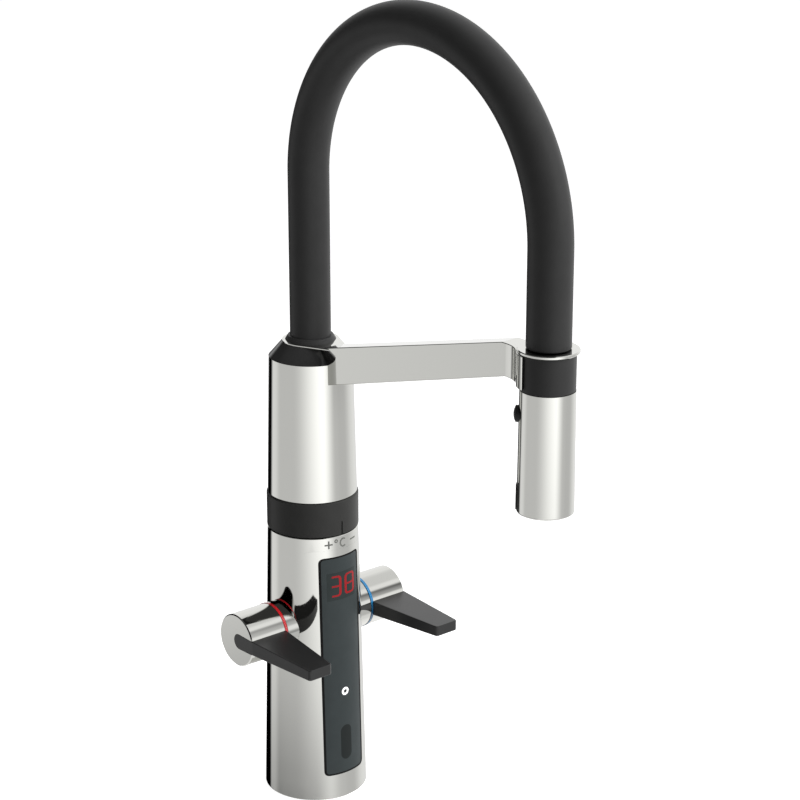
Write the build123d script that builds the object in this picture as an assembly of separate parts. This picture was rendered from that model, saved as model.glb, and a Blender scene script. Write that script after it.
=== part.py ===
from build123d import *
import math
import os

# Kitchen mixer tap with a self-supporting hose arch, all sizes in millimetres.
# The origin is the centre of the foot on the deck. +Z is up, -Y is the front, where the
# spout reaches out, and -X is the hot side.

# Column: one tapering outline runs from the foot to the shoulder under the hose
FOOT_RADIUS = 31.0
COLUMN_TAPER = 0.0235
FOOT_EDGE_RADIUS = 0.6
LOWER_BODY_HEIGHT = 168.4
BODY_BORE_RADIUS = 23.4
RUNNING_GAP = 0.3
SLIDING_FIT = 0.1

# Foot seal
SEAL_THICKNESS = 2.0
SEAL_INNER_RADIUS = 25.0
SEAL_WIDTH = 3.4

# Waterway core inside the lower body
CORE_FLANGE_THICKNESS = 12.0
CORE_TOP_FLANGE_THICKNESS = 16.0
CORE_STEM_RADIUS = 17.0
CORE_TOP_DROP = 2.4
STUD_HOLE_RADIUS = 4.25
STUD_HOLE_DEPTH = 20.0
INLET_RADIUS = 4.5
INLET_THREAD_LENGTH = 12.0
INLET_SPACING = 21.0
INLET_CHANNEL_RADIUS = 3.5
CABLE_HOLE_RADIUS = 3.0
CABLE_HOLE_OFFSET = 19.0
CROSS_BOSS_RADIUS = 10.0
CROSS_BOSS_REACH = 21.0
MIXING_CHANNEL_RADIUS = 4.0

# Pillars that carry the spout spigot through the temperature ring
PILLAR_INNER_RADIUS = 12.2
PILLAR_OUTER_RADIUS = 19.5
PILLAR_HALF_WIDTH = 7.8
DUCT_RADIUS = 2.6
CROSS_DUCT_RADIUS = 3.0

# Control panel on the front of the lower body
PANEL_WIDTH = 28.0
PANEL_BOTTOM = 16.3
PANEL_TOP_MARGIN = 13.1
PANEL_THICKNESS = 1.6
PANEL_CORNER_RADIUS = 3.0
PANEL_JOINT = 0.7
DISPLAY_DROP = 18.3
DISPLAY_WIDTH = 20.0
DISPLAY_HEIGHT = 19.0
INDICATOR_CENTRE_HEIGHT = 69.0
INDICATOR_RADIUS = 2.8
LIGHT_PIPE_RADIUS = 1.4
SENSOR_CENTRE_HEIGHT = 35.7
SENSOR_WIDTH = 8.0
SENSOR_HEIGHT = 22.5
MODULE_INSET = 0.8
BOARD_WIDTH = 20.0
BOARD_THICKNESS = 1.6
BOARD_FRONT = 20.5
BOARD_TOP_GAP = 2.8
BOARD_LIFT = 4.0
BOARD_PAD_WIDTH = 12.0
BOARD_PAD_HEIGHT = 6.0
BOARD_PAD_LEVELS = (26.0, 92.0)

# Temperature ring and the thermostat it turns
RING_HEIGHT = 21.2
RING_OUTER_RADIUS = 27.2
RING_INNER_RADIUS = 23.4
RING_EDGE = 0.7
POINTER_WIDTH = 1.6
POINTER_LENGTH = 8.6
POINTER_DEPTH = 0.6
DRIVER_RIM = 1.2
DRIVER_LIFT = 0.8
DRIVER_HEIGHT = 9.5
DRIVER_HUB_RADIUS = 8.0
DRIVER_SPOKE_WIDTH = 6.0
DRIVER_SPOKE_HEIGHT = 6.0
THERMOSTAT_RADIUS = 10.0
THERMOSTAT_LENGTH = 34.0
THERMOSTAT_NECK_RADIUS = 6.0
THERMOSTAT_NECK_LENGTH = 6.0
THERMOSTAT_SPINDLE_RADIUS = 2.5
THERMOSTAT_SPINDLE_DEPTH = 16.0

THERMOSTAT_BONNET_THICKNESS = 3.5

# Spout spigot, sleeve and bushes
SPIGOT_LIFT = 1.8
SPIGOT_FLANGE_RADIUS = 20.5
SPIGOT_FLANGE_THICKNESS = 9.0
SPIGOT_RADIUS = 15.0
SPIGOT_BORE_RADIUS = 7.5
SPIGOT_END_GAP = 0.5
SLEEVE_HEIGHT = 83.1
SLEEVE_BORE_RADIUS = 21.6
BUSH_HEIGHT = 8.0
RETAINER_DROP = 2.0
RETAINER_THICKNESS = 1.2
RETAINER_WIDTH = 3.7
RETAINER_GROOVE_DEPTH = 1.2
RETAINER_GAP_ANGLE = 40.0
SCREW_RADIUS = 1.4
SCREW_GRIP = 10.0
SCREW_HEAD_RADIUS = 2.2
SCREW_HEAD_HEIGHT = 2.8
SCREW_SOCKET_RADIUS = 1.2
SCREW_SOCKET_DEPTH = 1.4
SCREW_SPACING_X = 33.0
SCREW_SPACING_Y = 10.4

# Shoulder: black cone round the boss that carries the hose
CONE_HEIGHT = 9.2
RIM_THICKNESS = 0.5
RIM_RADIUS = 16.6
RIM_FLARE_LENGTH = 26.3
BOSS_RADIUS = 15.7
PLUG_HEIGHT = 9.9
NIPPLE_RADIUS = 9.0
NIPPLE_TAIL_RADIUS = 7.3
NIPPLE_TAIL_LENGTH = 30.0
NIPPLE_BORE_RADIUS = 3.6
BARB_RADIUS = 5.0
BARB_LENGTH = 15.0
O_RING_SECTION_RADIUS = 1.0
O_RING_SIDES = 8
O_RING_GROOVE_WIDTH = 2.2
O_RING_LEVELS = (8.0, 15.0)

# Support arm and the open saddle at its end
ARM_ROOT_HALF_WIDTH = 6.5
ARM_END_HALF_WIDTH = 6.2
ARM_TOP_START = 20.4
ARM_TOP_SLOPE = 0.2555
ARM_BOTTOM_START = 24.0
ARM_ROOT_DEPTH = 21.6
ARM_BOTTOM_SLOPE = 0.2795
SADDLE_RISE = 37.9
SADDLE_DEPTH = 18.3
SADDLE_WALL = 1.7
SADDLE_END_ANGLE = 10.0
SADDLE_BLEND_RADIUS = 20.0
ARM_EDGE_RADIUS = 0.5
MAGNET_RADIUS = 4.0
MAGNET_LENGTH = 6.0
MAGNET_INSET = 0.3

# Hose arch: it rises on a tighter bend than it falls on, because the spray hangs from it
REACH = 197.5
HOSE_CROWN_RISE = 193.4
HOSE_RISING_RADIUS = 95.0
HOSE_RADIUS = 11.9
HOSE_BORE_RADIUS = 8.0
INNER_HOSE_RADIUS = 7.6
HOSE_COLLAR_RADIUS = 14.8
HOSE_COLLAR_TOP_RADIUS = 13.2
HOSE_COLLAR_HEIGHT = 2.6

# Spray head
SPRAY_LENGTH = 67.0
SPRAY_BOTTOM_RADIUS = 15.3
SPRAY_TOP_RADIUS = 14.8
SPRAY_WALL = 1.5
SPRAY_TOP_WALL = 4.0
COLLAR_RADIUS = 14.6
COLLAR_HEIGHT = 20.0
SPRAY_FLANGE_RADIUS = 16.4
SPRAY_FLANGE_THICKNESS = 1.8
SPRAY_FLANGE_EDGE = 0.4
SPRAY_EDGE_RADIUS = 0.9
SLEEVE_EDGE = 0.3
STEM_RADIUS = 7.0
STEM_HEAD_RADIUS = 9.0
STEM_HEAD_HEIGHT = 4.0
DOCK_PLATE_INSET = 0.6
DOCK_PLATE_THICKNESS = 2.0
NOZZLE_RECESS = 1.5
NOZZLE_PLATE_THICKNESS = 7.5
NUB_COUNT = 16
NUB_RADIUS = 0.9
NUB_CIRCLE_RADIUS = 10.6
NUB_PROUD = 0.6
AERATOR_RADIUS = 7.5
AERATOR_BORE_RADIUS = 5.8
AERATOR_BORE_DEPTH = 3.0
SPRAY_CORE_CLEARANCE = 0.05
BUTTON_ANGLE = 137.0
BUTTON_DROP = 13.8
BUTTON_RADIUS = 4.5
BUTTON_PROUD = 2.6
BUTTON_CROWN = 1.2
BUTTON_DEPTH = 3.6
BUTTON_TRAVEL = 1.5
PLUNGER_RADIUS = 2.0
PLUNGER_LENGTH = 5.0
GRIP_LIFT = 1.0
GRIP_HEIGHT = 13.4
GRIP_WIDTH = 8.0
GRIP_PROUD = 0.5
GRIP_DEPTH = 0.8

# Side handles
HANDLE_DROP = 59.4
HUB_END = 31.5
HANDLE_RADIUS = 15.9
HANDLE_BORE_RADIUS = 11.1
COLOUR_RING_THICKNESS = 1.2
COLOUR_RING_PROUD = 0.15
KNOB_LENGTH = 25.3
KNOB_EDGE = 0.6
KNOB_CAVITY_DEPTH = 2.5
HEADWORK_RADIUS = 7.45
HEADWORK_START = 8.0
HEADWORK_COLLAR_RADIUS = 10.6
HEADWORK_COLLAR_LENGTH = 9.0
DISC_RADIUS = 6.0
DISC_THICKNESS = 1.5
DISC_BORE_RADIUS = 6.2
SPINDLE_RADIUS = 3.9
TENON_LENGTH = 17.3
GRUB_SCREW_RADIUS = 2.0
GRUB_SCREW_LENGTH = 8.0
GRUB_SCREW_SOCKET_RADIUS = 1.0
GRUB_SCREW_SOCKET_DEPTH = 2.5
LEVER_TAIL_RADIUS = 4.7
LEVER_TAIL_OFFSET = 2.7
LEVER_REACH = 67.0
LEVER_TIP_TOP = 2.9
LEVER_TIP_BOTTOM = 3.4
LEVER_TIP_INNER_INSET = 6.9
LEVER_TIP_OUTER_INSET = 2.4
LEVER_CORNER_RADIUS = 1.8
LEVER_EDGE_RADIUS = 0.5

# Levels and places that follow from the sizes above
PANEL_HEIGHT = LOWER_BODY_HEIGHT - PANEL_TOP_MARGIN - PANEL_BOTTOM
HANDLE_LEVEL = LOWER_BODY_HEIGHT - HANDLE_DROP
RING_BOTTOM = LOWER_BODY_HEIGHT + RUNNING_GAP
RING_TOP = RING_BOTTOM + RING_HEIGHT
SLEEVE_BOTTOM = RING_TOP + RUNNING_GAP
SHOULDER = SLEEVE_BOTTOM + SLEEVE_HEIGHT
CONE_TOP = SHOULDER + CONE_HEIGHT
BOSS_TOP = CONE_TOP + RIM_THICKNESS
CORE_TOP = LOWER_BODY_HEIGHT - CORE_TOP_DROP
DUCT_LEVEL = CORE_TOP - CORE_TOP_FLANGE_THICKNESS / 2
DISPLAY_CENTRE_HEIGHT = PANEL_BOTTOM + PANEL_HEIGHT - DISPLAY_DROP
SPIGOT_BASE = SLEEVE_BOTTOM + SPIGOT_LIFT
SPIGOT_SHOULDER = SPIGOT_BASE + SPIGOT_FLANGE_THICKNESS
PLUG_BOTTOM = SHOULDER - PLUG_HEIGHT
SPIGOT_TOP = PLUG_BOTTOM - SPIGOT_END_GAP
LOWER_BUSH_BOTTOM = SPIGOT_SHOULDER + RUNNING_GAP
RETAINER_BOTTOM = SPIGOT_TOP - RETAINER_DROP - RETAINER_THICKNESS
UPPER_BUSH_TOP = RETAINER_BOTTOM - RUNNING_GAP
BOARD_BOTTOM = CORE_FLANGE_THICKNESS + BOARD_LIFT
BOARD_TOP = CORE_TOP - CORE_TOP_FLANGE_THICKNESS - BOARD_TOP_GAP
DRIVER_BOTTOM = RING_BOTTOM + DRIVER_LIFT
THERMOSTAT_TOP = DUCT_LEVEL
THERMOSTAT_BOTTOM = THERMOSTAT_TOP - THERMOSTAT_LENGTH
SADDLE_TOP = BOSS_TOP + SADDLE_RISE
SADDLE_BOTTOM = SADDLE_TOP - SADDLE_DEPTH
ARM_BOTTOM_ROOT = BOSS_TOP - ARM_ROOT_DEPTH
ARCH_CROWN = BOSS_TOP + HOSE_CROWN_RISE
RISING_BEND_LEVEL = ARCH_CROWN - HOSE_RISING_RADIUS
HOSE_FALLING_RADIUS = REACH - HOSE_RISING_RADIUS
FALLING_BEND_LEVEL = ARCH_CROWN - HOSE_FALLING_RADIUS
COLLAR_TOP = SADDLE_TOP + RUNNING_GAP
COLLAR_BOTTOM = COLLAR_TOP - COLLAR_HEIGHT
SPRAY_TOP = COLLAR_BOTTOM - RUNNING_GAP
SPRAY_BOTTOM = SPRAY_TOP - SPRAY_LENGTH
BUTTON_HEIGHT = SPRAY_TOP - BUTTON_DROP
GRIP_BOTTOM = SPRAY_BOTTOM + GRIP_LIFT
FLANGE_TOP = COLLAR_TOP + SPRAY_FLANGE_THICKNESS
HOSE_END = FLANGE_TOP + RUNNING_GAP
SADDLE_INNER_RADIUS = COLLAR_RADIUS + RUNNING_GAP
SADDLE_OUTER_RADIUS = SADDLE_INNER_RADIUS + SADDLE_WALL
NOZZLE_BOTTOM = SPRAY_BOTTOM + NOZZLE_RECESS
NOZZLE_TOP = NOZZLE_BOTTOM + NOZZLE_PLATE_THICKNESS
STEM_HEAD_TOP = SPRAY_TOP - SPRAY_TOP_WALL - RUNNING_GAP
STEM_HEAD_BOTTOM = STEM_HEAD_TOP - STEM_HEAD_HEIGHT
COLOUR_RING_START = HUB_END + RUNNING_GAP
KNOB_START = COLOUR_RING_START + COLOUR_RING_THICKNESS
KNOB_END = KNOB_START + KNOB_LENGTH
TENON_START = KNOB_END - TENON_LENGTH
SPINDLE_END = TENON_START - MODULE_INSET
SPRAY_AXIS = Pos(0, -REACH, 0)


def column_radius(height):
    """Outer radius of the tapering column at a height."""
    return FOOT_RADIUS - COLUMN_TAPER * height


def turned(*corners):
    """Solid turned about Z from the (radius, height) corners of its half-section."""
    outline = Polyline(*[(radius, 0, height) for radius, height in corners], close=True)
    return revolve(make_face(outline), Axis.Z)


def tube(outer, inner, bottom, top):
    """Straight tube about Z."""
    return turned((inner, bottom), (outer, bottom), (outer, top), (inner, top))


def rod(radius, bottom, top):
    """Straight round bar about Z."""
    return Pos(0, 0, bottom) * Cylinder(radius, top - bottom, align=(Align.CENTER, Align.CENTER, Align.MIN))


def along_x(radius, start, end, height=HANDLE_LEVEL):
    """Round bar parallel to X from start to end, at a height on the column axis."""
    return Pos(start, 0, height) * Rot(0, 90, 0) * rod(radius, 0, end - start)


def along_y(radius, front, back, height, axis_x=0.0):
    """Round bar parallel to Y from its front end to its back end."""
    return Pos(axis_x, back, height) * Rot(90, 0, 0) * rod(radius, 0, back - front)


def column_solid(bottom, top, depth=0.0):
    """Solid core of the tapering column, its surface set in by a depth."""
    lower = column_radius(bottom) - depth
    upper = column_radius(top) - depth
    return turned((0, bottom), (lower, bottom), (upper, top), (0, top))


def column_skin(bottom, top, depth, proud=0.0):
    """Layer of the column from a depth under its surface to a height proud of it."""
    return column_solid(bottom, top, -proud) - column_solid(bottom, top, depth)


def front_block(outline, back=0.0):
    """Prism from an outline drawn in X and Z, pushed forwards past the column."""
    face = Pos(0, back, 0) * Rot(90, 0, 0) * outline
    return extrude(face, 2 * FOOT_RADIUS, dir=(0, -1, 0))


def rounded_window(width, height, centre_height, corner):
    """Rectangle with rounded corners, centred on the front at a height."""
    return Pos(0, centre_height) * RectangleRounded(width, height, corner)


def make_lower_body():
    """Chrome casing of the lower column with its panel pocket, windows and side holes."""
    body = column_solid(0, LOWER_BODY_HEIGHT)
    foot_edge = max(body.edges().filter_by(GeomType.CIRCLE), key=lambda edge: edge.radius)
    body = fillet(foot_edge, FOOT_EDGE_RADIUS)
    top_edge = body.edges().filter_by(GeomType.CIRCLE).sort_by(Axis.Z)[-1]
    body = chamfer(top_edge, SLEEVE_EDGE)
    body -= rod(BODY_BORE_RADIUS, 0, LOWER_BODY_HEIGHT)
    seal_outer = SEAL_INNER_RADIUS + SEAL_WIDTH
    body -= tube(seal_outer, SEAL_INNER_RADIUS, 0, SEAL_THICKNESS)
    pocket = panel_prism(PANEL_JOINT)
    body -= column_skin(0, LOWER_BODY_HEIGHT, PANEL_THICKNESS, 1.0) & pocket
    for window in front_windows(SLIDING_FIT):
        body -= window
    body -= along_x(HANDLE_BORE_RADIUS, -FOOT_RADIUS, FOOT_RADIUS)
    return body


def panel_prism(joint=0.0):
    """Prism of the panel's outline, with a joint gap all round."""
    outline = rounded_window(
        PANEL_WIDTH + 2 * joint,
        PANEL_HEIGHT + 2 * joint,
        PANEL_BOTTOM + PANEL_HEIGHT / 2,
        PANEL_CORNER_RADIUS + joint,
    )
    return front_block(outline)


def front_windows(clearance=0.0):
    """Prisms of the display, the indicator's light pipe and the sensor."""
    display = rounded_window(
        DISPLAY_WIDTH + 2 * clearance,
        DISPLAY_HEIGHT + 2 * clearance,
        DISPLAY_CENTRE_HEIGHT,
        MODULE_INSET,
    )
    indicator = Pos(0, INDICATOR_CENTRE_HEIGHT) * Circle(LIGHT_PIPE_RADIUS + clearance)
    sensor = rounded_window(
        SENSOR_WIDTH + 2 * clearance,
        SENSOR_HEIGHT + 2 * clearance,
        SENSOR_CENTRE_HEIGHT,
        SENSOR_WIDTH / 2 - MODULE_INSET,
    )
    return [front_block(outline) for outline in (display, indicator, sensor)]


def panel_layer():
    """Skin of the column that the panel and what is set in it are cut from."""
    return column_skin(0, LOWER_BODY_HEIGHT, PANEL_THICKNESS)


def sensor_lens_prism():
    """Prism of the sensor's long round-ended lens."""
    outline = rounded_window(SENSOR_WIDTH, SENSOR_HEIGHT, SENSOR_CENTRE_HEIGHT, SENSOR_WIDTH / 2 - 0.01)
    return front_block(outline)


def indicator_prism():
    """Prism of the round indicator lens."""
    return front_block(Pos(0, INDICATOR_CENTRE_HEIGHT) * Circle(INDICATOR_RADIUS))


def make_electronics():
    """Panel, its lenses, and the board with the display and the sensor behind it."""
    panel = panel_layer() & panel_prism()
    panel -= sensor_lens_prism()
    panel -= indicator_prism()
    display_prism, pipe_prism, sensor_prism = front_windows()
    behind_panel = column_solid(0, LOWER_BODY_HEIGHT, PANEL_THICKNESS)
    in_front_of_board = Pos(0, -BOARD_FRONT, 0) * Box(
        4 * FOOT_RADIUS,
        2 * FOOT_RADIUS,
        LOWER_BODY_HEIGHT,
        align=(Align.CENTER, Align.MAX, Align.MIN),
    )
    behind_panel &= in_front_of_board
    board = Pos(0, -BOARD_FRONT, BOARD_BOTTOM) * Box(
        BOARD_WIDTH,
        BOARD_THICKNESS,
        BOARD_TOP - BOARD_BOTTOM,
        align=(Align.CENTER, Align.MIN, Align.MIN),
    )
    return {
        "control_panel": panel,
        "sensor_window": panel_layer() & sensor_lens_prism(),
        "indicator_lens": (panel_layer() & indicator_prism()) + (behind_panel & pipe_prism),
        "display_module": behind_panel & display_prism,
        "sensor_module": behind_panel & sensor_prism,
        "control_board": board,
    }


def make_core_body():
    """Brass waterway body: foot flange, stem, cross boss for the valves and top pillars."""
    flange_radius = BODY_BORE_RADIUS - SLIDING_FIT
    core = rod(flange_radius, 0, CORE_FLANGE_THICKNESS)
    core += rod(CORE_STEM_RADIUS, 0, CORE_TOP)
    core += rod(flange_radius, CORE_TOP - CORE_TOP_FLANGE_THICKNESS, CORE_TOP)
    core += along_x(CROSS_BOSS_RADIUS, -CROSS_BOSS_REACH, CROSS_BOSS_REACH)
    for level in BOARD_PAD_LEVELS:
        core += Pos(0, BOARD_THICKNESS - BOARD_FRONT, level) * Box(
            BOARD_PAD_WIDTH,
            BOARD_FRONT - BOARD_THICKNESS,
            BOARD_PAD_HEIGHT,
            align=(Align.CENTER, Align.MIN, Align.CENTER),
        )
    core += make_pillars()
    core -= rod(STUD_HOLE_RADIUS, 0, STUD_HOLE_DEPTH)
    core -= Pos(0, CABLE_HOLE_OFFSET, 0) * rod(CABLE_HOLE_RADIUS, 0, CORE_FLANGE_THICKNESS)
    core -= along_x(CROSS_DUCT_RADIUS, -duct_reach(), duct_reach(), DUCT_LEVEL)
    for side in (-1, 1):
        inlet = Pos(side * INLET_SPACING / 2, 0, 0)
        core -= inlet * rod(INLET_RADIUS, 0, INLET_THREAD_LENGTH)
        core -= inlet * rod(INLET_CHANNEL_RADIUS, 0, HANDLE_LEVEL)
        core -= Pos(side * pillar_centre(), 0, 0) * rod(DUCT_RADIUS, DUCT_LEVEL, SPIGOT_BASE)
        valve_bore = along_x(HEADWORK_RADIUS, HEADWORK_START, CROSS_BOSS_REACH)
        core -= valve_bore if side > 0 else mirror(valve_bore, Plane.YZ)
    for place in screw_places():
        core -= place * rod(SCREW_RADIUS, SPIGOT_BASE - SCREW_GRIP, SPIGOT_BASE)
    core -= along_x(MIXING_CHANNEL_RADIUS, -HEADWORK_START, HEADWORK_START)
    core -= rod(MIXING_CHANNEL_RADIUS, HANDLE_LEVEL, THERMOSTAT_BOTTOM)
    core -= rod(THERMOSTAT_RADIUS, THERMOSTAT_BOTTOM, CORE_TOP)
    return core


def pillar_centre():
    """Distance of a pillar's duct from the column axis."""
    return (PILLAR_INNER_RADIUS + PILLAR_OUTER_RADIUS) / 2


def duct_reach():
    """Distance from the column axis at which the cross ducts end, past the upright ducts."""
    return pillar_centre() + CROSS_DUCT_RADIUS


def make_pillars():
    """Two flat-sided pillars that leave room for the ring driver's spokes."""
    height = SPIGOT_BASE - CORE_TOP
    slab = Pos(0, 0, CORE_TOP) * Box(
        2 * PILLAR_OUTER_RADIUS,
        2 * PILLAR_HALF_WIDTH,
        height,
        align=(Align.CENTER, Align.CENTER, Align.MIN),
    )
    return tube(PILLAR_OUTER_RADIUS, PILLAR_INNER_RADIUS, CORE_TOP, SPIGOT_BASE) & slab


def screw_places():
    """Places of the screws that hold the spigot down on the pillars."""
    corners = GridLocations(SCREW_SPACING_X, SCREW_SPACING_Y, 2, 2)
    return list(corners)


def make_spigot_screws():
    """Cap screws, their heads flush in the spigot's flange."""
    head_bottom = SPIGOT_SHOULDER - SCREW_HEAD_HEIGHT
    screw = rod(SCREW_RADIUS, SPIGOT_BASE - SCREW_GRIP, head_bottom)
    screw += rod(SCREW_HEAD_RADIUS, head_bottom, SPIGOT_SHOULDER)
    socket_bottom = SPIGOT_SHOULDER - SCREW_SOCKET_DEPTH
    screw -= Pos(0, 0, socket_bottom) * extrude(RegularPolygon(SCREW_SOCKET_RADIUS, 6), SCREW_SOCKET_DEPTH)
    return Compound(children=[place * screw for place in screw_places()])


def make_column():
    """Fixed pieces of the column."""
    seal_outer = SEAL_INNER_RADIUS + SEAL_WIDTH
    thermostat = rod(THERMOSTAT_RADIUS, THERMOSTAT_BOTTOM, THERMOSTAT_TOP)
    thermostat += rod(THERMOSTAT_NECK_RADIUS, THERMOSTAT_TOP, THERMOSTAT_TOP + THERMOSTAT_NECK_LENGTH)
    spindle_bottom = THERMOSTAT_TOP - THERMOSTAT_SPINDLE_DEPTH + THERMOSTAT_NECK_LENGTH
    thermostat -= rod(
        THERMOSTAT_SPINDLE_RADIUS + SLIDING_FIT,
        spindle_bottom - RUNNING_GAP,
        THERMOSTAT_TOP + THERMOSTAT_NECK_LENGTH,
    )
    nodes = {
        "base_seal": tube(seal_outer, SEAL_INNER_RADIUS, 0, SEAL_THICKNESS),
        "lower_body": make_lower_body(),
        "core_body": make_core_body(),
        "thermostat_cartridge": thermostat,
        "thermostat_bonnet": tube(
            THERMOSTAT_RADIUS,
            THERMOSTAT_NECK_RADIUS,
            CORE_TOP - THERMOSTAT_BONNET_THICKNESS,
            CORE_TOP,
        ),
        "spout_spigot": make_spigot(),
        "spigot_screws": make_spigot_screws(),
        "spigot_retaining_ring": make_retaining_ring(),
    }
    nodes.update(make_electronics())
    return nodes


def make_spigot():
    """Fixed spigot that the spout turns on, fed by the two ducts."""
    spigot = rod(SPIGOT_FLANGE_RADIUS, SPIGOT_BASE, SPIGOT_SHOULDER)
    spigot += rod(SPIGOT_RADIUS, SPIGOT_SHOULDER, SPIGOT_TOP)
    cross_level = SPIGOT_BASE + SPIGOT_FLANGE_THICKNESS / 2
    spigot -= rod(SPIGOT_BORE_RADIUS, cross_level - CROSS_DUCT_RADIUS / 2, SPIGOT_TOP)
    spigot -= along_x(CROSS_DUCT_RADIUS, -duct_reach(), duct_reach(), cross_level)
    for side in (-1, 1):
        spigot -= Pos(side * pillar_centre(), 0, 0) * rod(DUCT_RADIUS, SPIGOT_BASE, cross_level)
    for place in screw_places():
        spigot -= place * rod(SCREW_RADIUS, SPIGOT_BASE, SPIGOT_SHOULDER)
        spigot -= place * rod(SCREW_HEAD_RADIUS, SPIGOT_SHOULDER - SCREW_HEAD_HEIGHT, SPIGOT_SHOULDER)
    groove_radius = SPIGOT_RADIUS - RETAINER_GROOVE_DEPTH
    spigot -= tube(
        SPIGOT_RADIUS + 1, groove_radius, RETAINER_BOTTOM, RETAINER_BOTTOM + RETAINER_THICKNESS
    )
    return spigot


def make_retaining_ring():
    """Open ring in the spigot's groove that keeps the sleeve from lifting."""
    inner = SPIGOT_RADIUS - RETAINER_GROOVE_DEPTH
    section = make_face(
        Polyline(
            (inner, 0, RETAINER_BOTTOM),
            (inner + RETAINER_WIDTH, 0, RETAINER_BOTTOM),
            (inner + RETAINER_WIDTH, 0, RETAINER_BOTTOM + RETAINER_THICKNESS),
            (inner, 0, RETAINER_BOTTOM + RETAINER_THICKNESS),
            close=True,
        )
    )
    return revolve(section, Axis.Z, 360 - RETAINER_GAP_ANGLE)


def make_temperature_ring():
    """Black ring, the spoked driver inside it and the spindle that it turns."""
    ring = turned(
        (RING_INNER_RADIUS, RING_BOTTOM),
        (RING_OUTER_RADIUS - RING_EDGE, RING_BOTTOM),
        (RING_OUTER_RADIUS, RING_BOTTOM + RING_EDGE),
        (RING_OUTER_RADIUS, RING_TOP - RING_EDGE),
        (RING_OUTER_RADIUS - RING_EDGE, RING_TOP),
        (RING_INNER_RADIUS, RING_TOP),
    )
    ring -= Pos(0, -RING_OUTER_RADIUS, RING_BOTTOM) * Box(
        POINTER_WIDTH,
        2 * POINTER_DEPTH,
        POINTER_LENGTH,
        align=(Align.CENTER, Align.CENTER, Align.MIN),
    )
    rim_inner = RING_INNER_RADIUS - DRIVER_RIM
    driver = tube(RING_INNER_RADIUS, rim_inner, DRIVER_BOTTOM, DRIVER_BOTTOM + DRIVER_HEIGHT)
    driver += rod(DRIVER_HUB_RADIUS, DRIVER_BOTTOM, DRIVER_BOTTOM + DRIVER_SPOKE_HEIGHT)
    driver += Pos(0, 0, DRIVER_BOTTOM) * Box(
        DRIVER_SPOKE_WIDTH,
        2 * rim_inner + DRIVER_RIM,
        DRIVER_SPOKE_HEIGHT,
        align=(Align.CENTER, Align.CENTER, Align.MIN),
    )
    spindle_top = DRIVER_BOTTOM + DRIVER_SPOKE_HEIGHT
    driver -= rod(THERMOSTAT_SPINDLE_RADIUS, DRIVER_BOTTOM, spindle_top)
    spindle_bottom = THERMOSTAT_TOP - THERMOSTAT_SPINDLE_DEPTH + THERMOSTAT_NECK_LENGTH
    return {
        "temperature_ring": ring,
        "ring_driver": driver,
        "thermostat_spindle": rod(THERMOSTAT_SPINDLE_RADIUS, spindle_bottom, spindle_top),
    }


def arm_plan():
    """Plan of the arm: tapering sides that blend by arcs into the saddle's outer circle."""
    centre_y = -REACH
    blend_x = ARM_END_HALF_WIDTH + SADDLE_BLEND_RADIUS
    reach_out = SADDLE_OUTER_RADIUS + SADDLE_BLEND_RADIUS
    blend_y = centre_y + math.sqrt(reach_out**2 - blend_x**2)
    meet = Vector(blend_x, blend_y - centre_y).normalized() * SADDLE_OUTER_RADIUS
    meet_x = meet.X
    meet_y = meet.Y + centre_y
    end_angle = math.radians(SADDLE_END_ANGLE)
    outer_x = SADDLE_OUTER_RADIUS * math.cos(end_angle)
    cut_y = centre_y + SADDLE_OUTER_RADIUS * math.sin(end_angle)
    inner_x = math.sqrt(SADDLE_INNER_RADIUS**2 - (cut_y - centre_y) ** 2)
    side = Line((ARM_ROOT_HALF_WIDTH, 0), (ARM_END_HALF_WIDTH, blend_y))
    mid_angle = (math.pi + math.atan2(meet_y - blend_y, meet_x - blend_x)) / 2
    if mid_angle < math.pi / 2:
        mid_angle += math.pi
    mid = (
        blend_x + SADDLE_BLEND_RADIUS * math.cos(mid_angle),
        blend_y + SADDLE_BLEND_RADIUS * math.sin(mid_angle),
    )
    blend = ThreePointArc(side @ 1, mid, (meet_x, meet_y))
    wrap_angle = (math.atan2(meet.Y, meet.X) + end_angle) / 2
    wrap_mid = (
        SADDLE_OUTER_RADIUS * math.cos(wrap_angle),
        centre_y + SADDLE_OUTER_RADIUS * math.sin(wrap_angle),
    )
    wrap = ThreePointArc(blend @ 1, wrap_mid, (outer_x, cut_y))
    lip = Line(wrap @ 1, (inner_x, cut_y))
    right = [side, blend, wrap, lip]
    left = [mirror(edge, Plane.YZ) for edge in right]
    seat = ThreePointArc((inner_x, cut_y), (0, centre_y + SADDLE_INNER_RADIUS), (-inner_x, cut_y))
    root = Line((-ARM_ROOT_HALF_WIDTH, 0), (ARM_ROOT_HALF_WIDTH, 0))
    return make_face(Curve() + right + left + [seat, root])


def arm_side():
    """Side view of the arm in Y and Z, as a face that is pushed across its width."""
    top_run = (SADDLE_TOP - BOSS_TOP) / ARM_TOP_SLOPE
    bottom_run = (SADDLE_BOTTOM - ARM_BOTTOM_ROOT) / ARM_BOTTOM_SLOPE
    corners = [
        (0, 0, ARM_BOTTOM_ROOT),
        (0, -ARM_BOTTOM_START, ARM_BOTTOM_ROOT),
        (0, -ARM_BOTTOM_START - bottom_run, SADDLE_BOTTOM),
        (0, -REACH, SADDLE_BOTTOM),
        (0, -REACH, SADDLE_TOP),
        (0, -ARM_TOP_START - top_run, SADDLE_TOP),
        (0, -ARM_TOP_START, BOSS_TOP),
        (0, 0, BOSS_TOP),
    ]
    return make_face(Polyline(*corners, close=True))


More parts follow.
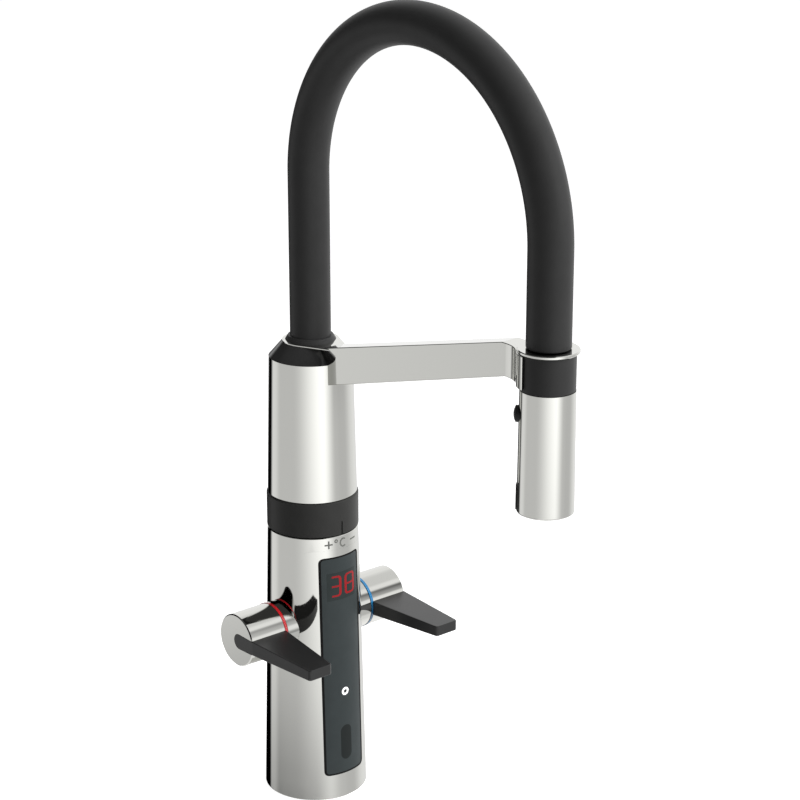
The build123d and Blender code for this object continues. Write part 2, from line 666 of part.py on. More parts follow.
def arm_bar():
    """Bar of the arm with its saddle, before it is fitted to the column."""
    plan = extrude(Pos(0, 0, ARM_BOTTOM_ROOT) * arm_plan(), SADDLE_TOP - ARM_BOTTOM_ROOT)
    side = Pos(-SADDLE_OUTER_RADIUS, 0, 0) * extrude(arm_side(), 2 * SADDLE_OUTER_RADIUS, dir=(1, 0, 0))
    bar = plan & side
    return fillet(bar.edges(), ARM_EDGE_RADIUS)


def rim_plate():
    """Thin plate over the cone: a circle whose straight sides run out to the arm."""
    arm_x = ARM_ROOT_HALF_WIDTH - ARM_EDGE_RADIUS
    arm_point = Vector(arm_x, -RIM_FLARE_LENGTH)
    tangent_angle = math.acos(RIM_RADIUS / arm_point.length) + math.atan2(arm_point.Y, arm_point.X)
    tangent_x = RIM_RADIUS * math.cos(tangent_angle)
    tangent_y = RIM_RADIUS * math.sin(tangent_angle)
    flare = Polyline(
        (tangent_x, tangent_y),
        (arm_x, -RIM_FLARE_LENGTH),
        (-arm_x, -RIM_FLARE_LENGTH),
        (-tangent_x, tangent_y),
        close=True,
    )
    return extrude(Pos(0, 0, CONE_TOP) * (Circle(RIM_RADIUS) + make_face(flare)), RIM_THICKNESS)


def make_support_arm():
    """Chrome arm with its hose boss, the plug in the sleeve and the spray saddle."""
    arm = arm_bar() - column_solid(0, SHOULDER)
    arm += rod(BOSS_RADIUS, SHOULDER, BOSS_TOP)
    arm += rim_plate()
    arm += rod(SLEEVE_BORE_RADIUS, PLUG_BOTTOM, SHOULDER)
    arm -= rod(NIPPLE_RADIUS, PLUG_BOTTOM, BOSS_TOP)
    arm -= magnet_bar(MAGNET_INSET + RUNNING_GAP)
    return arm


def magnet_bar(front_room=0.0):
    """Round magnet behind the saddle, or its pocket where room is left in front of it."""
    face_y = -REACH + SADDLE_INNER_RADIUS + MAGNET_INSET
    level = (SADDLE_TOP + SADDLE_BOTTOM) / 2
    return along_y(MAGNET_RADIUS, face_y - front_room, face_y + MAGNET_LENGTH, level)


def make_cone_shroud():
    """Black cone on the shoulder, open where the arm passes through it."""
    shroud = turned(
        (BOSS_RADIUS, SHOULDER),
        (column_radius(SHOULDER), SHOULDER),
        (RIM_RADIUS, CONE_TOP),
        (BOSS_RADIUS, CONE_TOP),
    )
    return shroud - arm_bar()


def nipple_grooves():
    """Grooves in the nipple's tail and the sealing rings that lie in them."""
    tail_bottom = PLUG_BOTTOM - NIPPLE_TAIL_LENGTH
    ring_radius = NIPPLE_TAIL_RADIUS + SLIDING_FIT - O_RING_SECTION_RADIUS
    grooves = []
    rings = []
    for level in O_RING_LEVELS:
        height = tail_bottom + level
        half = O_RING_GROOVE_WIDTH / 2
        floor = ring_radius - O_RING_SECTION_RADIUS
        grooves.append(tube(NIPPLE_TAIL_RADIUS + 1, floor, height - half, height + half))
        section = RegularPolygon(
            O_RING_SECTION_RADIUS,
            O_RING_SIDES,
            major_radius=False,
            rotation=180 / O_RING_SIDES,
        )
        rings.append(revolve(Pos(ring_radius, 0, height) * Rot(90, 0, 0) * section, Axis.Z))
    return grooves, rings


def make_hose_nipple(grooves):
    """Nipple screwed into the boss, its tail in the spigot and its barb in the hose."""
    nipple = rod(NIPPLE_RADIUS, PLUG_BOTTOM, BOSS_TOP)
    nipple += rod(NIPPLE_TAIL_RADIUS, PLUG_BOTTOM - NIPPLE_TAIL_LENGTH, PLUG_BOTTOM)
    nipple += rod(BARB_RADIUS, BOSS_TOP, BOSS_TOP + BARB_LENGTH)
    nipple -= rod(NIPPLE_BORE_RADIUS, PLUG_BOTTOM - NIPPLE_TAIL_LENGTH, BOSS_TOP + BARB_LENGTH)
    for groove in grooves:
        nipple -= groove
    return nipple


def bend_middle(radius, level, side):
    """Point half way round a quarter bend under the crown, on the column or spray side."""
    step = radius * math.sin(math.radians(45))
    return (0, side * step - HOSE_RISING_RADIUS, level + step)


def hose_path():
    """Centre line of the hose: up the column, over in two quarter bends, down to the spray."""
    crown = (0, -HOSE_RISING_RADIUS, ARCH_CROWN)
    rise_start = (0, 0, RISING_BEND_LEVEL)
    fall_end = (0, -REACH, FALLING_BEND_LEVEL)
    up = Line((0, 0, BOSS_TOP), rise_start)
    rise = ThreePointArc(rise_start, bend_middle(HOSE_RISING_RADIUS, RISING_BEND_LEVEL, 1), crown)
    fall = ThreePointArc(crown, bend_middle(HOSE_FALLING_RADIUS, FALLING_BEND_LEVEL, -1), fall_end)
    down = Line(fall_end, (0, -REACH, HOSE_END))
    return Wire([up, rise, fall, down])


def make_hose(outer, inner):
    """Hose of a given outer and inner radius along the arch."""
    path = hose_path()
    ring = Pos(0, 0, BOSS_TOP) * (Circle(outer) - Circle(inner))
    return sweep(ring, path=path)


def make_spout():
    """Pieces that turn together on the spigot."""
    sleeve = column_solid(SLEEVE_BOTTOM, SHOULDER)
    sleeve = chamfer(sleeve.edges().filter_by(GeomType.CIRCLE).sort_by(Axis.Z)[0], SLEEVE_EDGE)
    sleeve -= rod(SLEEVE_BORE_RADIUS, SLEEVE_BOTTOM, SHOULDER)
    bush_bore = SPIGOT_RADIUS + SLIDING_FIT
    grooves, rings = nipple_grooves()
    collar = turned(
        (HOSE_RADIUS, BOSS_TOP),
        (HOSE_COLLAR_RADIUS, BOSS_TOP),
        (HOSE_COLLAR_TOP_RADIUS, BOSS_TOP + HOSE_COLLAR_HEIGHT),
        (HOSE_RADIUS, BOSS_TOP + HOSE_COLLAR_HEIGHT),
    )
    ferrule = SPRAY_AXIS * tube(BARB_RADIUS, NIPPLE_BORE_RADIUS, HOSE_END, HOSE_END + BARB_LENGTH)
    return {
        "spout_sleeve": sleeve,
        "support_arm": make_support_arm(),
        "cone_shroud": make_cone_shroud(),
        "lower_swivel_bush": tube(
            SLEEVE_BORE_RADIUS, bush_bore, LOWER_BUSH_BOTTOM, LOWER_BUSH_BOTTOM + BUSH_HEIGHT
        ),
        "upper_swivel_bush": tube(
            SLEEVE_BORE_RADIUS, bush_bore, UPPER_BUSH_TOP - BUSH_HEIGHT, UPPER_BUSH_TOP
        ),
        "hose_nipple": make_hose_nipple(grooves),
        "nipple_o_rings": Compound(children=rings),
        "hose_collar": collar,
        "hose_cover": make_hose(HOSE_RADIUS, HOSE_BORE_RADIUS),
        "inner_hose": make_hose(INNER_HOSE_RADIUS, BARB_RADIUS),
        "hose_ferrule": ferrule,
        "dock_magnet": magnet_bar(),
    }


def spray_radius(height):
    """Outer radius of the tapering spray body at a height."""
    share = (height - SPRAY_BOTTOM) / (SPRAY_TOP - SPRAY_BOTTOM)
    return SPRAY_BOTTOM_RADIUS + share * (SPRAY_TOP_RADIUS - SPRAY_BOTTOM_RADIUS)


def spray_solid(bottom, top, depth):
    """Solid of the spray body's taper, its surface set in by a depth, on its own axis."""
    return turned(
        (0, bottom),
        (spray_radius(bottom) - depth, bottom),
        (spray_radius(top) - depth, top),
        (0, top),
    )


def toward_button(piece):
    """Turn a piece made along -Y to the side that the button looks to."""
    return Rot(0, 0, -BUTTON_ANGLE) * piece


def grip_prism():
    """Prism of the grip strip's round-cornered outline, pushed out along -Y."""
    outline = Pos(0, GRIP_BOTTOM + GRIP_HEIGHT / 2) * RectangleRounded(
        GRIP_WIDTH, GRIP_HEIGHT, GRIP_WIDTH / 4
    )
    return toward_button(extrude(Rot(90, 0, 0) * outline, 2 * SPRAY_BOTTOM_RADIUS, dir=(0, -1, 0)))


def grip_layer(depth):
    """Skin of the spray body from a depth under its surface to the strip's face."""
    top = GRIP_BOTTOM + GRIP_HEIGHT + GRIP_WIDTH
    return spray_solid(SPRAY_BOTTOM, top, -GRIP_PROUD) - spray_solid(SPRAY_BOTTOM, top, depth)


def nub_places():
    """Places of the spray nubs on their circle."""
    turns = [Rot(0, 0, 360 / NUB_COUNT * number) for number in range(NUB_COUNT)]
    return [turn * Pos(NUB_CIRCLE_RADIUS, 0, 0) for turn in turns]


def make_spray_head():
    """Spray body, its core, the nozzle plate with its nubs, the aerator and the grip."""
    body = spray_solid(SPRAY_BOTTOM, SPRAY_TOP, 0)
    rims = body.edges().filter_by(GeomType.CIRCLE).sort_by(Axis.Z)
    body = fillet(rims[0], SPRAY_EDGE_RADIUS)
    body -= spray_solid(SPRAY_BOTTOM, SPRAY_TOP - SPRAY_TOP_WALL, SPRAY_WALL)
    body -= rod(STEM_RADIUS + SLIDING_FIT, SPRAY_BOTTOM, SPRAY_TOP)
    button_room = along_y(BUTTON_RADIUS + RUNNING_GAP, -2 * SPRAY_BOTTOM_RADIUS, 0, BUTTON_HEIGHT)
    body -= toward_button(button_room)
    body -= grip_layer(GRIP_DEPTH) & grip_prism()
    plate = spray_solid(NOZZLE_BOTTOM, NOZZLE_TOP, SPRAY_WALL)
    plate -= rod(AERATOR_RADIUS, NOZZLE_BOTTOM, NOZZLE_TOP)
    nubs = []
    for place in nub_places():
        nub = place * rod(NUB_RADIUS, NOZZLE_BOTTOM - NUB_PROUD, NOZZLE_TOP)
        plate -= nub
        nubs.append(nub)
    aerator = rod(AERATOR_RADIUS, NOZZLE_BOTTOM, NOZZLE_TOP)
    aerator -= rod(AERATOR_BORE_RADIUS, NOZZLE_BOTTOM, NOZZLE_BOTTOM + AERATOR_BORE_DEPTH)
    core_top = STEM_HEAD_BOTTOM - RUNNING_GAP
    core_radius = spray_radius(core_top) - SPRAY_WALL - SPRAY_CORE_CLEARANCE
    core = rod(core_radius, NOZZLE_TOP, core_top)
    core -= rod(NIPPLE_BORE_RADIUS, NOZZLE_TOP, core_top)
    button_well = along_y(BUTTON_RADIUS + RUNNING_GAP, -2 * core_radius, -button_floor(), BUTTON_HEIGHT)
    core -= toward_button(button_well)
    plunger_hole = along_y(PLUNGER_RADIUS + SLIDING_FIT, -core_radius, 0, BUTTON_HEIGHT)
    core -= toward_button(plunger_hole)
    return {
        "spray_body": SPRAY_AXIS * body,
        "spray_core": SPRAY_AXIS * core,
        "nozzle_plate": SPRAY_AXIS * plate,
        "nozzle_nubs": SPRAY_AXIS * Compound(children=nubs),
        "aerator": SPRAY_AXIS * aerator,
        "grip_strip": SPRAY_AXIS * (grip_layer(GRIP_DEPTH) & grip_prism()),
    }


def button_face():
    """Distance of the button's crown from the spray axis."""
    return spray_radius(BUTTON_HEIGHT) + BUTTON_PROUD


def button_floor():
    """Distance from the spray axis of the floor that the pressed button stops short of."""
    return button_face() - BUTTON_PROUD - BUTTON_DEPTH - BUTTON_TRAVEL - RUNNING_GAP


def make_spray_button():
    """Domed push button and the plunger that it drives into the core."""
    back = button_face() - BUTTON_PROUD - BUTTON_DEPTH
    dome_radius = (BUTTON_RADIUS**2 + BUTTON_CROWN**2) / (2 * BUTTON_CROWN)
    dome = Pos(0, 0, button_face() - dome_radius) * Sphere(dome_radius)
    cap = Rot(90, 0, 0) * (rod(BUTTON_RADIUS, back, button_face()) & dome)
    button = toward_button(Pos(0, 0, BUTTON_HEIGHT) * cap)
    plunger = toward_button(along_y(PLUNGER_RADIUS, -back, -back + PLUNGER_LENGTH, BUTTON_HEIGHT))
    return {"spray_button": SPRAY_AXIS * button, "button_plunger": SPRAY_AXIS * plunger}


def make_spray_flange():
    """Thin chrome ring over the collar, with a chamfer on both edges."""
    inset = SPRAY_FLANGE_RADIUS - SPRAY_FLANGE_EDGE
    return turned(
        (STEM_RADIUS, COLLAR_TOP),
        (inset, COLLAR_TOP),
        (SPRAY_FLANGE_RADIUS, COLLAR_TOP + SPRAY_FLANGE_EDGE),
        (SPRAY_FLANGE_RADIUS, FLANGE_TOP - SPRAY_FLANGE_EDGE),
        (inset, FLANGE_TOP),
        (STEM_RADIUS, FLANGE_TOP),
    )


def make_spray_dock():
    """Flange, collar and swivel stem that lift out of the saddle with the spray."""
    plate_face = -(COLLAR_RADIUS - DOCK_PLATE_INSET)
    level = (SADDLE_TOP + SADDLE_BOTTOM) / 2
    plate = Rot(0, 0, 180) * along_y(MAGNET_RADIUS, plate_face, plate_face + DOCK_PLATE_THICKNESS, level)
    pocket = Rot(0, 0, 180) * along_y(
        MAGNET_RADIUS, -2 * COLLAR_RADIUS, plate_face + DOCK_PLATE_THICKNESS, level
    )
    collar = tube(COLLAR_RADIUS, STEM_RADIUS, COLLAR_BOTTOM, COLLAR_TOP) - pocket
    stem = rod(STEM_RADIUS, STEM_HEAD_TOP, FLANGE_TOP)
    stem += rod(STEM_HEAD_RADIUS, STEM_HEAD_BOTTOM, STEM_HEAD_TOP)
    stem -= rod(NIPPLE_BORE_RADIUS, STEM_HEAD_BOTTOM, FLANGE_TOP)
    return {
        "spray_flange": SPRAY_AXIS * make_spray_flange(),
        "spray_collar": SPRAY_AXIS * collar,
        "swivel_stem": SPRAY_AXIS * stem,
        "dock_plate": SPRAY_AXIS * plate,
    }


def lever_side():
    """Side view of the lever in Y and Z about the handle axis: round tail, slim tip."""
    tail_y = -LEVER_TAIL_OFFSET
    tail = ThreePointArc(
        (0, tail_y, -LEVER_TAIL_RADIUS),
        (0, tail_y + LEVER_TAIL_RADIUS, 0),
        (0, tail_y, LEVER_TAIL_RADIUS),
    )
    top = Line((0, tail_y, LEVER_TAIL_RADIUS), (0, -LEVER_REACH, LEVER_TIP_TOP))
    tip = Line((0, -LEVER_REACH, LEVER_TIP_TOP), (0, -LEVER_REACH, -LEVER_TIP_BOTTOM))
    bottom = Line((0, -LEVER_REACH, -LEVER_TIP_BOTTOM), (0, tail_y, -LEVER_TAIL_RADIUS))
    return Pos(0, 0, HANDLE_LEVEL) * make_face(Curve() + [tail, top, tip, bottom])


def lever_prism(start, end):
    """Lever's side view pushed along X from start to end."""
    return Pos(start, 0, 0) * extrude(lever_side(), end - start, dir=(1, 0, 0))


def make_lever():
    """Black lever: a tapering blade, and a tenon in the knob's slot."""
    blade_start = -HANDLE_RADIUS
    outline = Polyline(
        (KNOB_START, LEVER_TAIL_RADIUS),
        (KNOB_START, blade_start),
        (KNOB_START + LEVER_TIP_INNER_INSET, -LEVER_REACH),
        (KNOB_END - LEVER_TIP_OUTER_INSET, -LEVER_REACH),
        (KNOB_END, blade_start),
        (KNOB_END, LEVER_TAIL_RADIUS),
        close=True,
    )
    plan = make_face(outline)
    prism = extrude(plan, 2 * HANDLE_LEVEL)
    lever = lever_prism(KNOB_START, KNOB_END) & prism
    tip_edges = lever.edges().filter_by(Axis.Z).group_by(Axis.Y)[0]
    lever = fillet(tip_edges, LEVER_CORNER_RADIUS)
    lever = fillet(lever.edges(), LEVER_EDGE_RADIUS)
    return lever - along_x(HANDLE_RADIUS, KNOB_START, TENON_START)


def make_knob():
    """Chrome knob with the slot for the lever and the socket for the spindle."""
    knob = along_x(HANDLE_RADIUS, KNOB_START, KNOB_END)
    end_edge = knob.edges().filter_by(GeomType.CIRCLE).sort_by(Axis.X)[-1]
    knob = chamfer(end_edge, KNOB_EDGE)
    knob -= along_x(HANDLE_BORE_RADIUS, KNOB_START, KNOB_START + KNOB_CAVITY_DEPTH)
    knob -= along_x(SPINDLE_RADIUS, KNOB_START, SPINDLE_END)
    knob -= lever_prism(TENON_START, KNOB_END)
    return knob - grub_screw_bar(HANDLE_LEVEL - HANDLE_RADIUS - 1)


def grub_screw_place():
    """Distance of the grub screw from the column axis."""
    return (KNOB_START + KNOB_CAVITY_DEPTH + TENON_START) / 2


def grub_screw_bar(bottom):
    """Upright bar under the spindle, for the grub screw or its hole."""
    return Pos(grub_screw_place(), 0, 0) * rod(GRUB_SCREW_RADIUS, bottom, HANDLE_LEVEL - SPINDLE_RADIUS)


def make_grub_screw():
    """Grub screw that clamps the knob on its spindle, with a socket at its outer end."""
    bottom = HANDLE_LEVEL - SPINDLE_RADIUS - GRUB_SCREW_LENGTH
    socket = Pos(grub_screw_place(), 0, bottom) * extrude(
        RegularPolygon(GRUB_SCREW_SOCKET_RADIUS, 6), GRUB_SCREW_SOCKET_DEPTH
    )
    return grub_screw_bar(bottom) - socket


def make_hub():
    """Fixed chrome hub, saddled on the column round the headwork."""
    hub = along_x(HANDLE_RADIUS, 0, HUB_END)
    return hub - column_solid(0, LOWER_BODY_HEIGHT) - along_x(HANDLE_BORE_RADIUS, 0, HUB_END)


def make_headwork():
    """Quarter-turn headwork: threaded body in the core, collar inside the hub."""
    collar_end = CROSS_BOSS_REACH + HEADWORK_COLLAR_LENGTH
    headwork = along_x(HEADWORK_RADIUS, HEADWORK_START, CROSS_BOSS_REACH)
    headwork += along_x(HEADWORK_COLLAR_RADIUS, CROSS_BOSS_REACH, collar_end)
    headwork -= along_x(SPINDLE_RADIUS + SLIDING_FIT, HEADWORK_START, collar_end)
    return headwork - along_x(DISC_BORE_RADIUS, HEADWORK_START, disc_level(2))


def disc_level(number):
    """Distance from the column axis of the start of disc 0 or 1, or of the spindle, 2."""
    return HEADWORK_START + number * (DISC_THICKNESS + RUNNING_GAP)


def make_side(name):
    """Pieces on the +X side: those fixed to the column and those that turn."""
    fixed = {
        f"{name}_hub": make_hub(),
        f"{name}_headwork": make_headwork(),
        f"{name}_fixed_disc": along_x(DISC_RADIUS, disc_level(0), disc_level(0) + DISC_THICKNESS),
    }
    spindle_start = disc_level(1) + DISC_THICKNESS
    colour_ring = along_x(HANDLE_RADIUS + COLOUR_RING_PROUD, COLOUR_RING_START, KNOB_START)
    colour_ring -= along_x(HANDLE_BORE_RADIUS, COLOUR_RING_START, KNOB_START)
    turning = {
        f"{name}_knob": make_knob(),
        f"{name}_lever": make_lever(),
        f"{name}_colour_ring": colour_ring,
        f"{name}_spindle": along_x(SPINDLE_RADIUS, spindle_start, SPINDLE_END),
        f"{name}_moving_disc": along_x(DISC_RADIUS, disc_level(1), spindle_start),
        f"{name}_grub_screw": make_grub_screw(),
    }
    return {**fixed, **turning}


def make_tap():
    """All nodes of the tap by name."""
    nodes = make_column()
    nodes.update(make_temperature_ring())
    nodes.update(make_spout())
    nodes.update(make_spray_dock())
    nodes.update(make_spray_head())
    nodes.update(make_spray_button())
    nodes.update(make_side("cold"))
    for name, piece in make_side("hot").items():
        nodes[name] = mirror(piece, Plane.YZ)
    return nodes


def report_hose():
    """Print the hose's centre line and compare its volume with section times length."""
    length = hose_path().length
    area = math.pi * (HOSE_RADIUS**2 - HOSE_BORE_RADIUS**2)
    volume = make_hose(HOSE_RADIUS, HOSE_BORE_RADIUS).volume
    bends = f"{HOSE_RISING_RADIUS:.1f} and {HOSE_FALLING_RADIUS:.1f} mm"
    print(f"hose centre line {length:.1f} mm, bend radii {bends}")
    print(f"hose volume {volume:.0f} mm3, section times length {area * length:.0f} mm3")


if __name__ == "__main__":
    os.makedirs("parts", exist_ok=True)
    for node_name, node in make_tap().items():
        export_step(node, f"parts/{node_name}.step")
    report_hose()
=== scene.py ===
"""Kitchen mixer tap with a hose arch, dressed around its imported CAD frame.

Chrome column with a dark display panel, a black temperature ring and two side levers. The spout sleeve
above it carries a support arm and a rubber hose arch that holds the pull-out spray in the arm's saddle.
Everything is in metres in the frame of the CAD: x across the tap, y to the back, z up from the deck.
"""

import logging
import math
from dataclasses import dataclass, field
from enum import Enum

import bmesh
import bpy
import numpy as np
from mathutils import Matrix, Vector


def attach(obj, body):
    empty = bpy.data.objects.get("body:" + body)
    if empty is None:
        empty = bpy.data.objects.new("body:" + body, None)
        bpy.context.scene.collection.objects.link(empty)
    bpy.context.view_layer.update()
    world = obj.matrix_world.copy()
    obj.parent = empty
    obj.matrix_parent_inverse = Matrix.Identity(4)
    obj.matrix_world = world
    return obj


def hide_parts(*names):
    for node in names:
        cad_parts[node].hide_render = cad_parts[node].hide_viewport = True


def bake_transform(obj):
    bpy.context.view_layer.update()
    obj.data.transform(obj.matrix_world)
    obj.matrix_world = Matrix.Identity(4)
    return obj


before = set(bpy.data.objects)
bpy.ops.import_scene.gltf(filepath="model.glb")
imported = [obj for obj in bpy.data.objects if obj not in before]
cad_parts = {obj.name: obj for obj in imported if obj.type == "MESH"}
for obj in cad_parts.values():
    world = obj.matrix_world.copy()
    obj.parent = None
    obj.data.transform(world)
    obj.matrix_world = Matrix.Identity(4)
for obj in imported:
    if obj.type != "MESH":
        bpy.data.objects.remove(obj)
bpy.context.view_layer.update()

log = logging.getLogger("mixer_tap")
MM = 0.001
FULL_TURN = 360.0
# How far, in millimetres, a piece that lies on a surface reaches into it, so that no gap shows.
WALL_BURIAL = 0.05
# Corners of a mesh that lie closer than this many metres are one.
MERGE_DISTANCE = 1e-7
# Edges that turn by more than this many degrees stay sharp.
SHARP_ANGLE = 35.0
# Millimetres between the points of a drawn path, and the points on each of its rounded corners.
PATH_STEP = 0.25
CORNER_POINTS = 9


def linear(code: str) -> tuple[float, float, float, float]:
    """Turns an sRGB hex colour into the linear colour that a shader takes.

    Args:
        code: a colour such as "#c8252b".

    Returns:
        Red, green, blue and an alpha of 1.
    """
    parts = [int(code[i : i + 2], 16) / 255 for i in (1, 3, 5)]
    red, green, blue = (p / 12.92 if p <= 0.04045 else ((p + 0.055) / 1.055) ** 2.4 for p in parts)
    return red, green, blue, 1.0


def add_node(
    tree: bpy.types.NodeTree,
    kind: str,
    settings: dict[str, object] | None = None,
    links: dict[str | int, bpy.types.NodeSocket] | None = None,
) -> bpy.types.Node:
    """Adds one node to a tree.

    Args:
        tree: the node tree of a material or the world.
        kind: the node's Blender type.
        settings: values for its properties, or for its input sockets by name or number.
        links: output sockets to join to its inputs, by name or number.

    Returns:
        The new node.
    """
    node = tree.nodes.new(kind)
    for name, value in (settings or {}).items():
        if isinstance(name, str) and hasattr(node, name):
            setattr(node, name, value)
        else:
            node.inputs[name].default_value = value
    for name, source in (links or {}).items():
        tree.links.new(source, node.inputs[name])
    return node


def grid_mesh(
    name: str,
    points: np.ndarray,
    closed_rows: bool = False,
    closed_columns: bool = False,
    capped: bool = False,
) -> bpy.types.Object:
    """Makes a mesh object from a grid of points, one quad between each four neighbours.

    Args:
        name: the piece's name.
        points: rows by columns by 3, in metres.
        closed_rows: the last row joins the first.
        closed_columns: the last column joins the first.
        capped: the first and last rows, when their columns close, get a face each.

    Returns:
        The piece, with its faces pointing outwards and its surface smooth but for its sharp edges.
    """
    rows, columns = points.shape[:2]
    row = np.arange(rows if closed_rows else rows - 1)
    column = np.arange(columns if closed_columns else columns - 1)
    r, c = np.meshgrid(row, column, indexing="ij")
    below, beside = (r + 1) % rows, (c + 1) % columns
    quads = np.stack(
        (r * columns + c, r * columns + beside, below * columns + beside, below * columns + c), axis=-1
    )
    faces = quads.reshape(-1, 4).tolist()
    if capped:
        faces.append(list(range(columns)))
        faces.append(list(range((rows - 1) * columns, rows * columns)))
    mesh = bpy.data.meshes.new(name)
    mesh.from_pydata(points.reshape(-1, 3).tolist(), [], faces)
    tidy = bmesh.new()
    tidy.from_mesh(mesh)
    bmesh.ops.remove_doubles(tidy, verts=tidy.verts, dist=MERGE_DISTANCE)
    bmesh.ops.recalc_face_normals(tidy, faces=tidy.faces)
    tidy.to_mesh(mesh)
    tidy.free()
    mesh.shade_smooth()
    mesh.set_sharp_from_angle(angle=math.radians(SHARP_ANGLE))
    piece = bpy.data.objects.new(name, mesh)
    bpy.context.scene.collection.objects.link(piece)
    return piece


def join(name: str, pieces: list[bpy.types.Object]) -> bpy.types.Object:
    """Joins pieces that share a finish into one object.

    Args:
        name: the joined piece's name.
        pieces: the objects to join.

    Returns:
        The joined piece.
    """
    joined = bmesh.new()
    for piece in pieces:
        joined.from_mesh(piece.data)
        mesh = piece.data
        bpy.data.objects.remove(piece)
        bpy.data.meshes.remove(mesh)
    mesh = bpy.data.meshes.new(name)
    joined.to_mesh(mesh)
    joined.free()
    piece = bpy.data.objects.new(name, mesh)
    bpy.context.scene.collection.objects.link(piece)
    return piece


class Side(Enum):
    """Side of the tap that a handle sits on: hot on the left and cold on the right, from the front."""

    HOT = "hot"
    COLD = "cold"


@dataclass
class Shading:
    """A material while it is built: its nodes, its Principled shader and the Object coordinates."""

    tree: bpy.types.NodeTree
    shader: bpy.types.Node
    place: bpy.types.NodeSocket


@dataclass(frozen=True)
class Finish:
    """A material of one piece: its common name, colour and roughness, and the grain of its surface.

    The grain is a noise in real millimetres that lifts the surface by a fraction of its size, and varies
    the roughness a little, so that light breaks on it as it does on the real material.
    """

    name: str
    colour: str
    roughness: float
    grain_mm: float = 0.5
    grain_depth_mm: float = 0.0
    roughness_spread: float = 0.02

    def material(self) -> bpy.types.Material:
        """Builds the material once and returns it."""
        made = bpy.data.materials.get(self.name)
        if made is None:
            made = bpy.data.materials.new(self.name)
            made.use_nodes = True
            made.diffuse_color = linear(self.colour)
            made.roughness = self.roughness
            tree = made.node_tree
            tree.nodes.clear()
            place = add_node(tree, "ShaderNodeTexCoord").outputs["Object"]
            shader = add_node(
                tree,
                "ShaderNodeBsdfPrincipled",
                {"Base Color": linear(self.colour), "Roughness": self.roughness},
            )
            shading = Shading(tree, shader, place)
            self.grain(shading)
            self.dress(shading)
            add_node(tree, "ShaderNodeOutputMaterial", links={"Surface": shader.outputs[0]})
        return made

    def grain(self, made: Shading) -> None:
        """Adds the surface's grain.

        Args:
            made: the material so far.
        """
        tree, inputs = made.tree, made.shader.inputs
        noise = add_node(
            tree,
            "ShaderNodeTexNoise",
            {"Scale": 1 / (self.grain_mm * MM), "Detail": 3.0, "Roughness": 0.55},
            {"Vector": made.place},
        )
        spread = add_node(
            tree,
            "ShaderNodeMapRange",
            {
                "To Min": max(self.roughness - self.roughness_spread, 0.0),
                "To Max": min(self.roughness + self.roughness_spread, 1.0),
            },
            {"Value": noise.outputs["Fac"]},
        )
        tree.links.new(spread.outputs["Result"], inputs["Roughness"])
        if self.grain_depth_mm > 0:
            lift = add_node(
                tree,
                "ShaderNodeBump",
                {"Strength": 1.0, "Distance": self.grain_depth_mm * MM},
                {"Height": noise.outputs["Fac"]},
            )
            tree.links.new(lift.outputs["Normal"], inputs["Normal"])

    def dress(self, made: Shading) -> None:
        """Adds what only this kind of finish has.

        Args:
            made: the material so far.
        """


@dataclass(frozen=True)
class Metal(Finish):
    """Metal: it takes its colour from what it mirrors, tinted by the metal's own reflectance."""

    def dress(self, made: Shading) -> None:
        """Makes the surface metallic."""
        made.shader.inputs["Metallic"].default_value = 1.0


@dataclass(frozen=True)
class Plastic(Finish):
    """Moulded plastic or rubber: a coloured body that drifts slightly in tone, under a weak plain gloss."""

    ior: float = 1.5
    gloss: float = 0.5
    tone_mm: float = 9.0
    tone_spread: float = 0.12
    coat: float = 0.0
    coat_roughness: float = 0.1

    def dress(self, made: Shading) -> None:
        """Sets the gloss and lets the colour drift over a few millimetres."""
        for name, value in (
            ("IOR", self.ior),
            ("Specular IOR Level", self.gloss),
            ("Coat Weight", self.coat),
            ("Coat Roughness", self.coat_roughness),
        ):
            made.shader.inputs[name].default_value = value
        tree = made.tree
        tone = add_node(
            tree,
            "ShaderNodeTexNoise",
            {"Scale": 1 / (self.tone_mm * MM), "Detail": 2.0},
            {"Vector": made.place},
        )
        level = add_node(
            tree,
            "ShaderNodeMapRange",
            {"To Min": 1 - self.tone_spread, "To Max": 1 + self.tone_spread},
            {"Value": tone.outputs["Fac"]},
        )
        shade = add_node(
            tree,
            "ShaderNodeVectorMath",
            {"operation": "SCALE", 0: linear(self.colour)[:3]},
            {"Scale": level.outputs["Result"]},
        )
        tree.links.new(shade.outputs["Vector"], made.shader.inputs["Base Color"])


@dataclass(frozen=True)
class Lit(Finish):
    """A lit segment on the dark front: it glows in its own colour."""

    glow: float = 0.5
    gloss: float = 0.3

    def dress(self, made: Shading) -> None:
        """Adds the glow."""
        inputs = made.shader.inputs
        inputs["Emission Color"].default_value = linear(self.colour)
        inputs["Emission Strength"].default_value = self.glow
        inputs["Specular IOR Level"].default_value = self.gloss


# Electroplated chrome on polished brass: a mirror with a faint warm cast and the last trace of the wheel.
CHROME = Metal("bright_chrome_plate", "#bdbdb9", 0.05, 14.0, 0.0, 0.015)
# Gloss black lacquer on the cone: near black, with a clear mirror on top.
GLOSS_BLACK = Plastic("gloss_black_lacquer", "#393939", 0.1, 6.0, 0.0, 0.02, gloss=0.35)
# Satin black coat on the ring: dark grey, with the softened light of a fine-blasted surface.
RING_COAT = Plastic("satin_black_anodised_ring", "#363635", 0.45, 0.25, 0.004, 0.04, gloss=0.14)
# Silk powder coat on the levers: near black, going grey where it is seen along the surface.
LEVER_COAT = Plastic("silk_black_powder_coat", "#282828", 0.34, 0.3, 0.003, 0.04, gloss=0.38)
# Moulded glass-filled nylon on both collars and the nozzle plate: dark, even, barely shining.
COLLAR_PLASTIC = Plastic("moulded_black_nylon", "#363636", 0.45, 0.3, 0.006, 0.04, gloss=0.14)
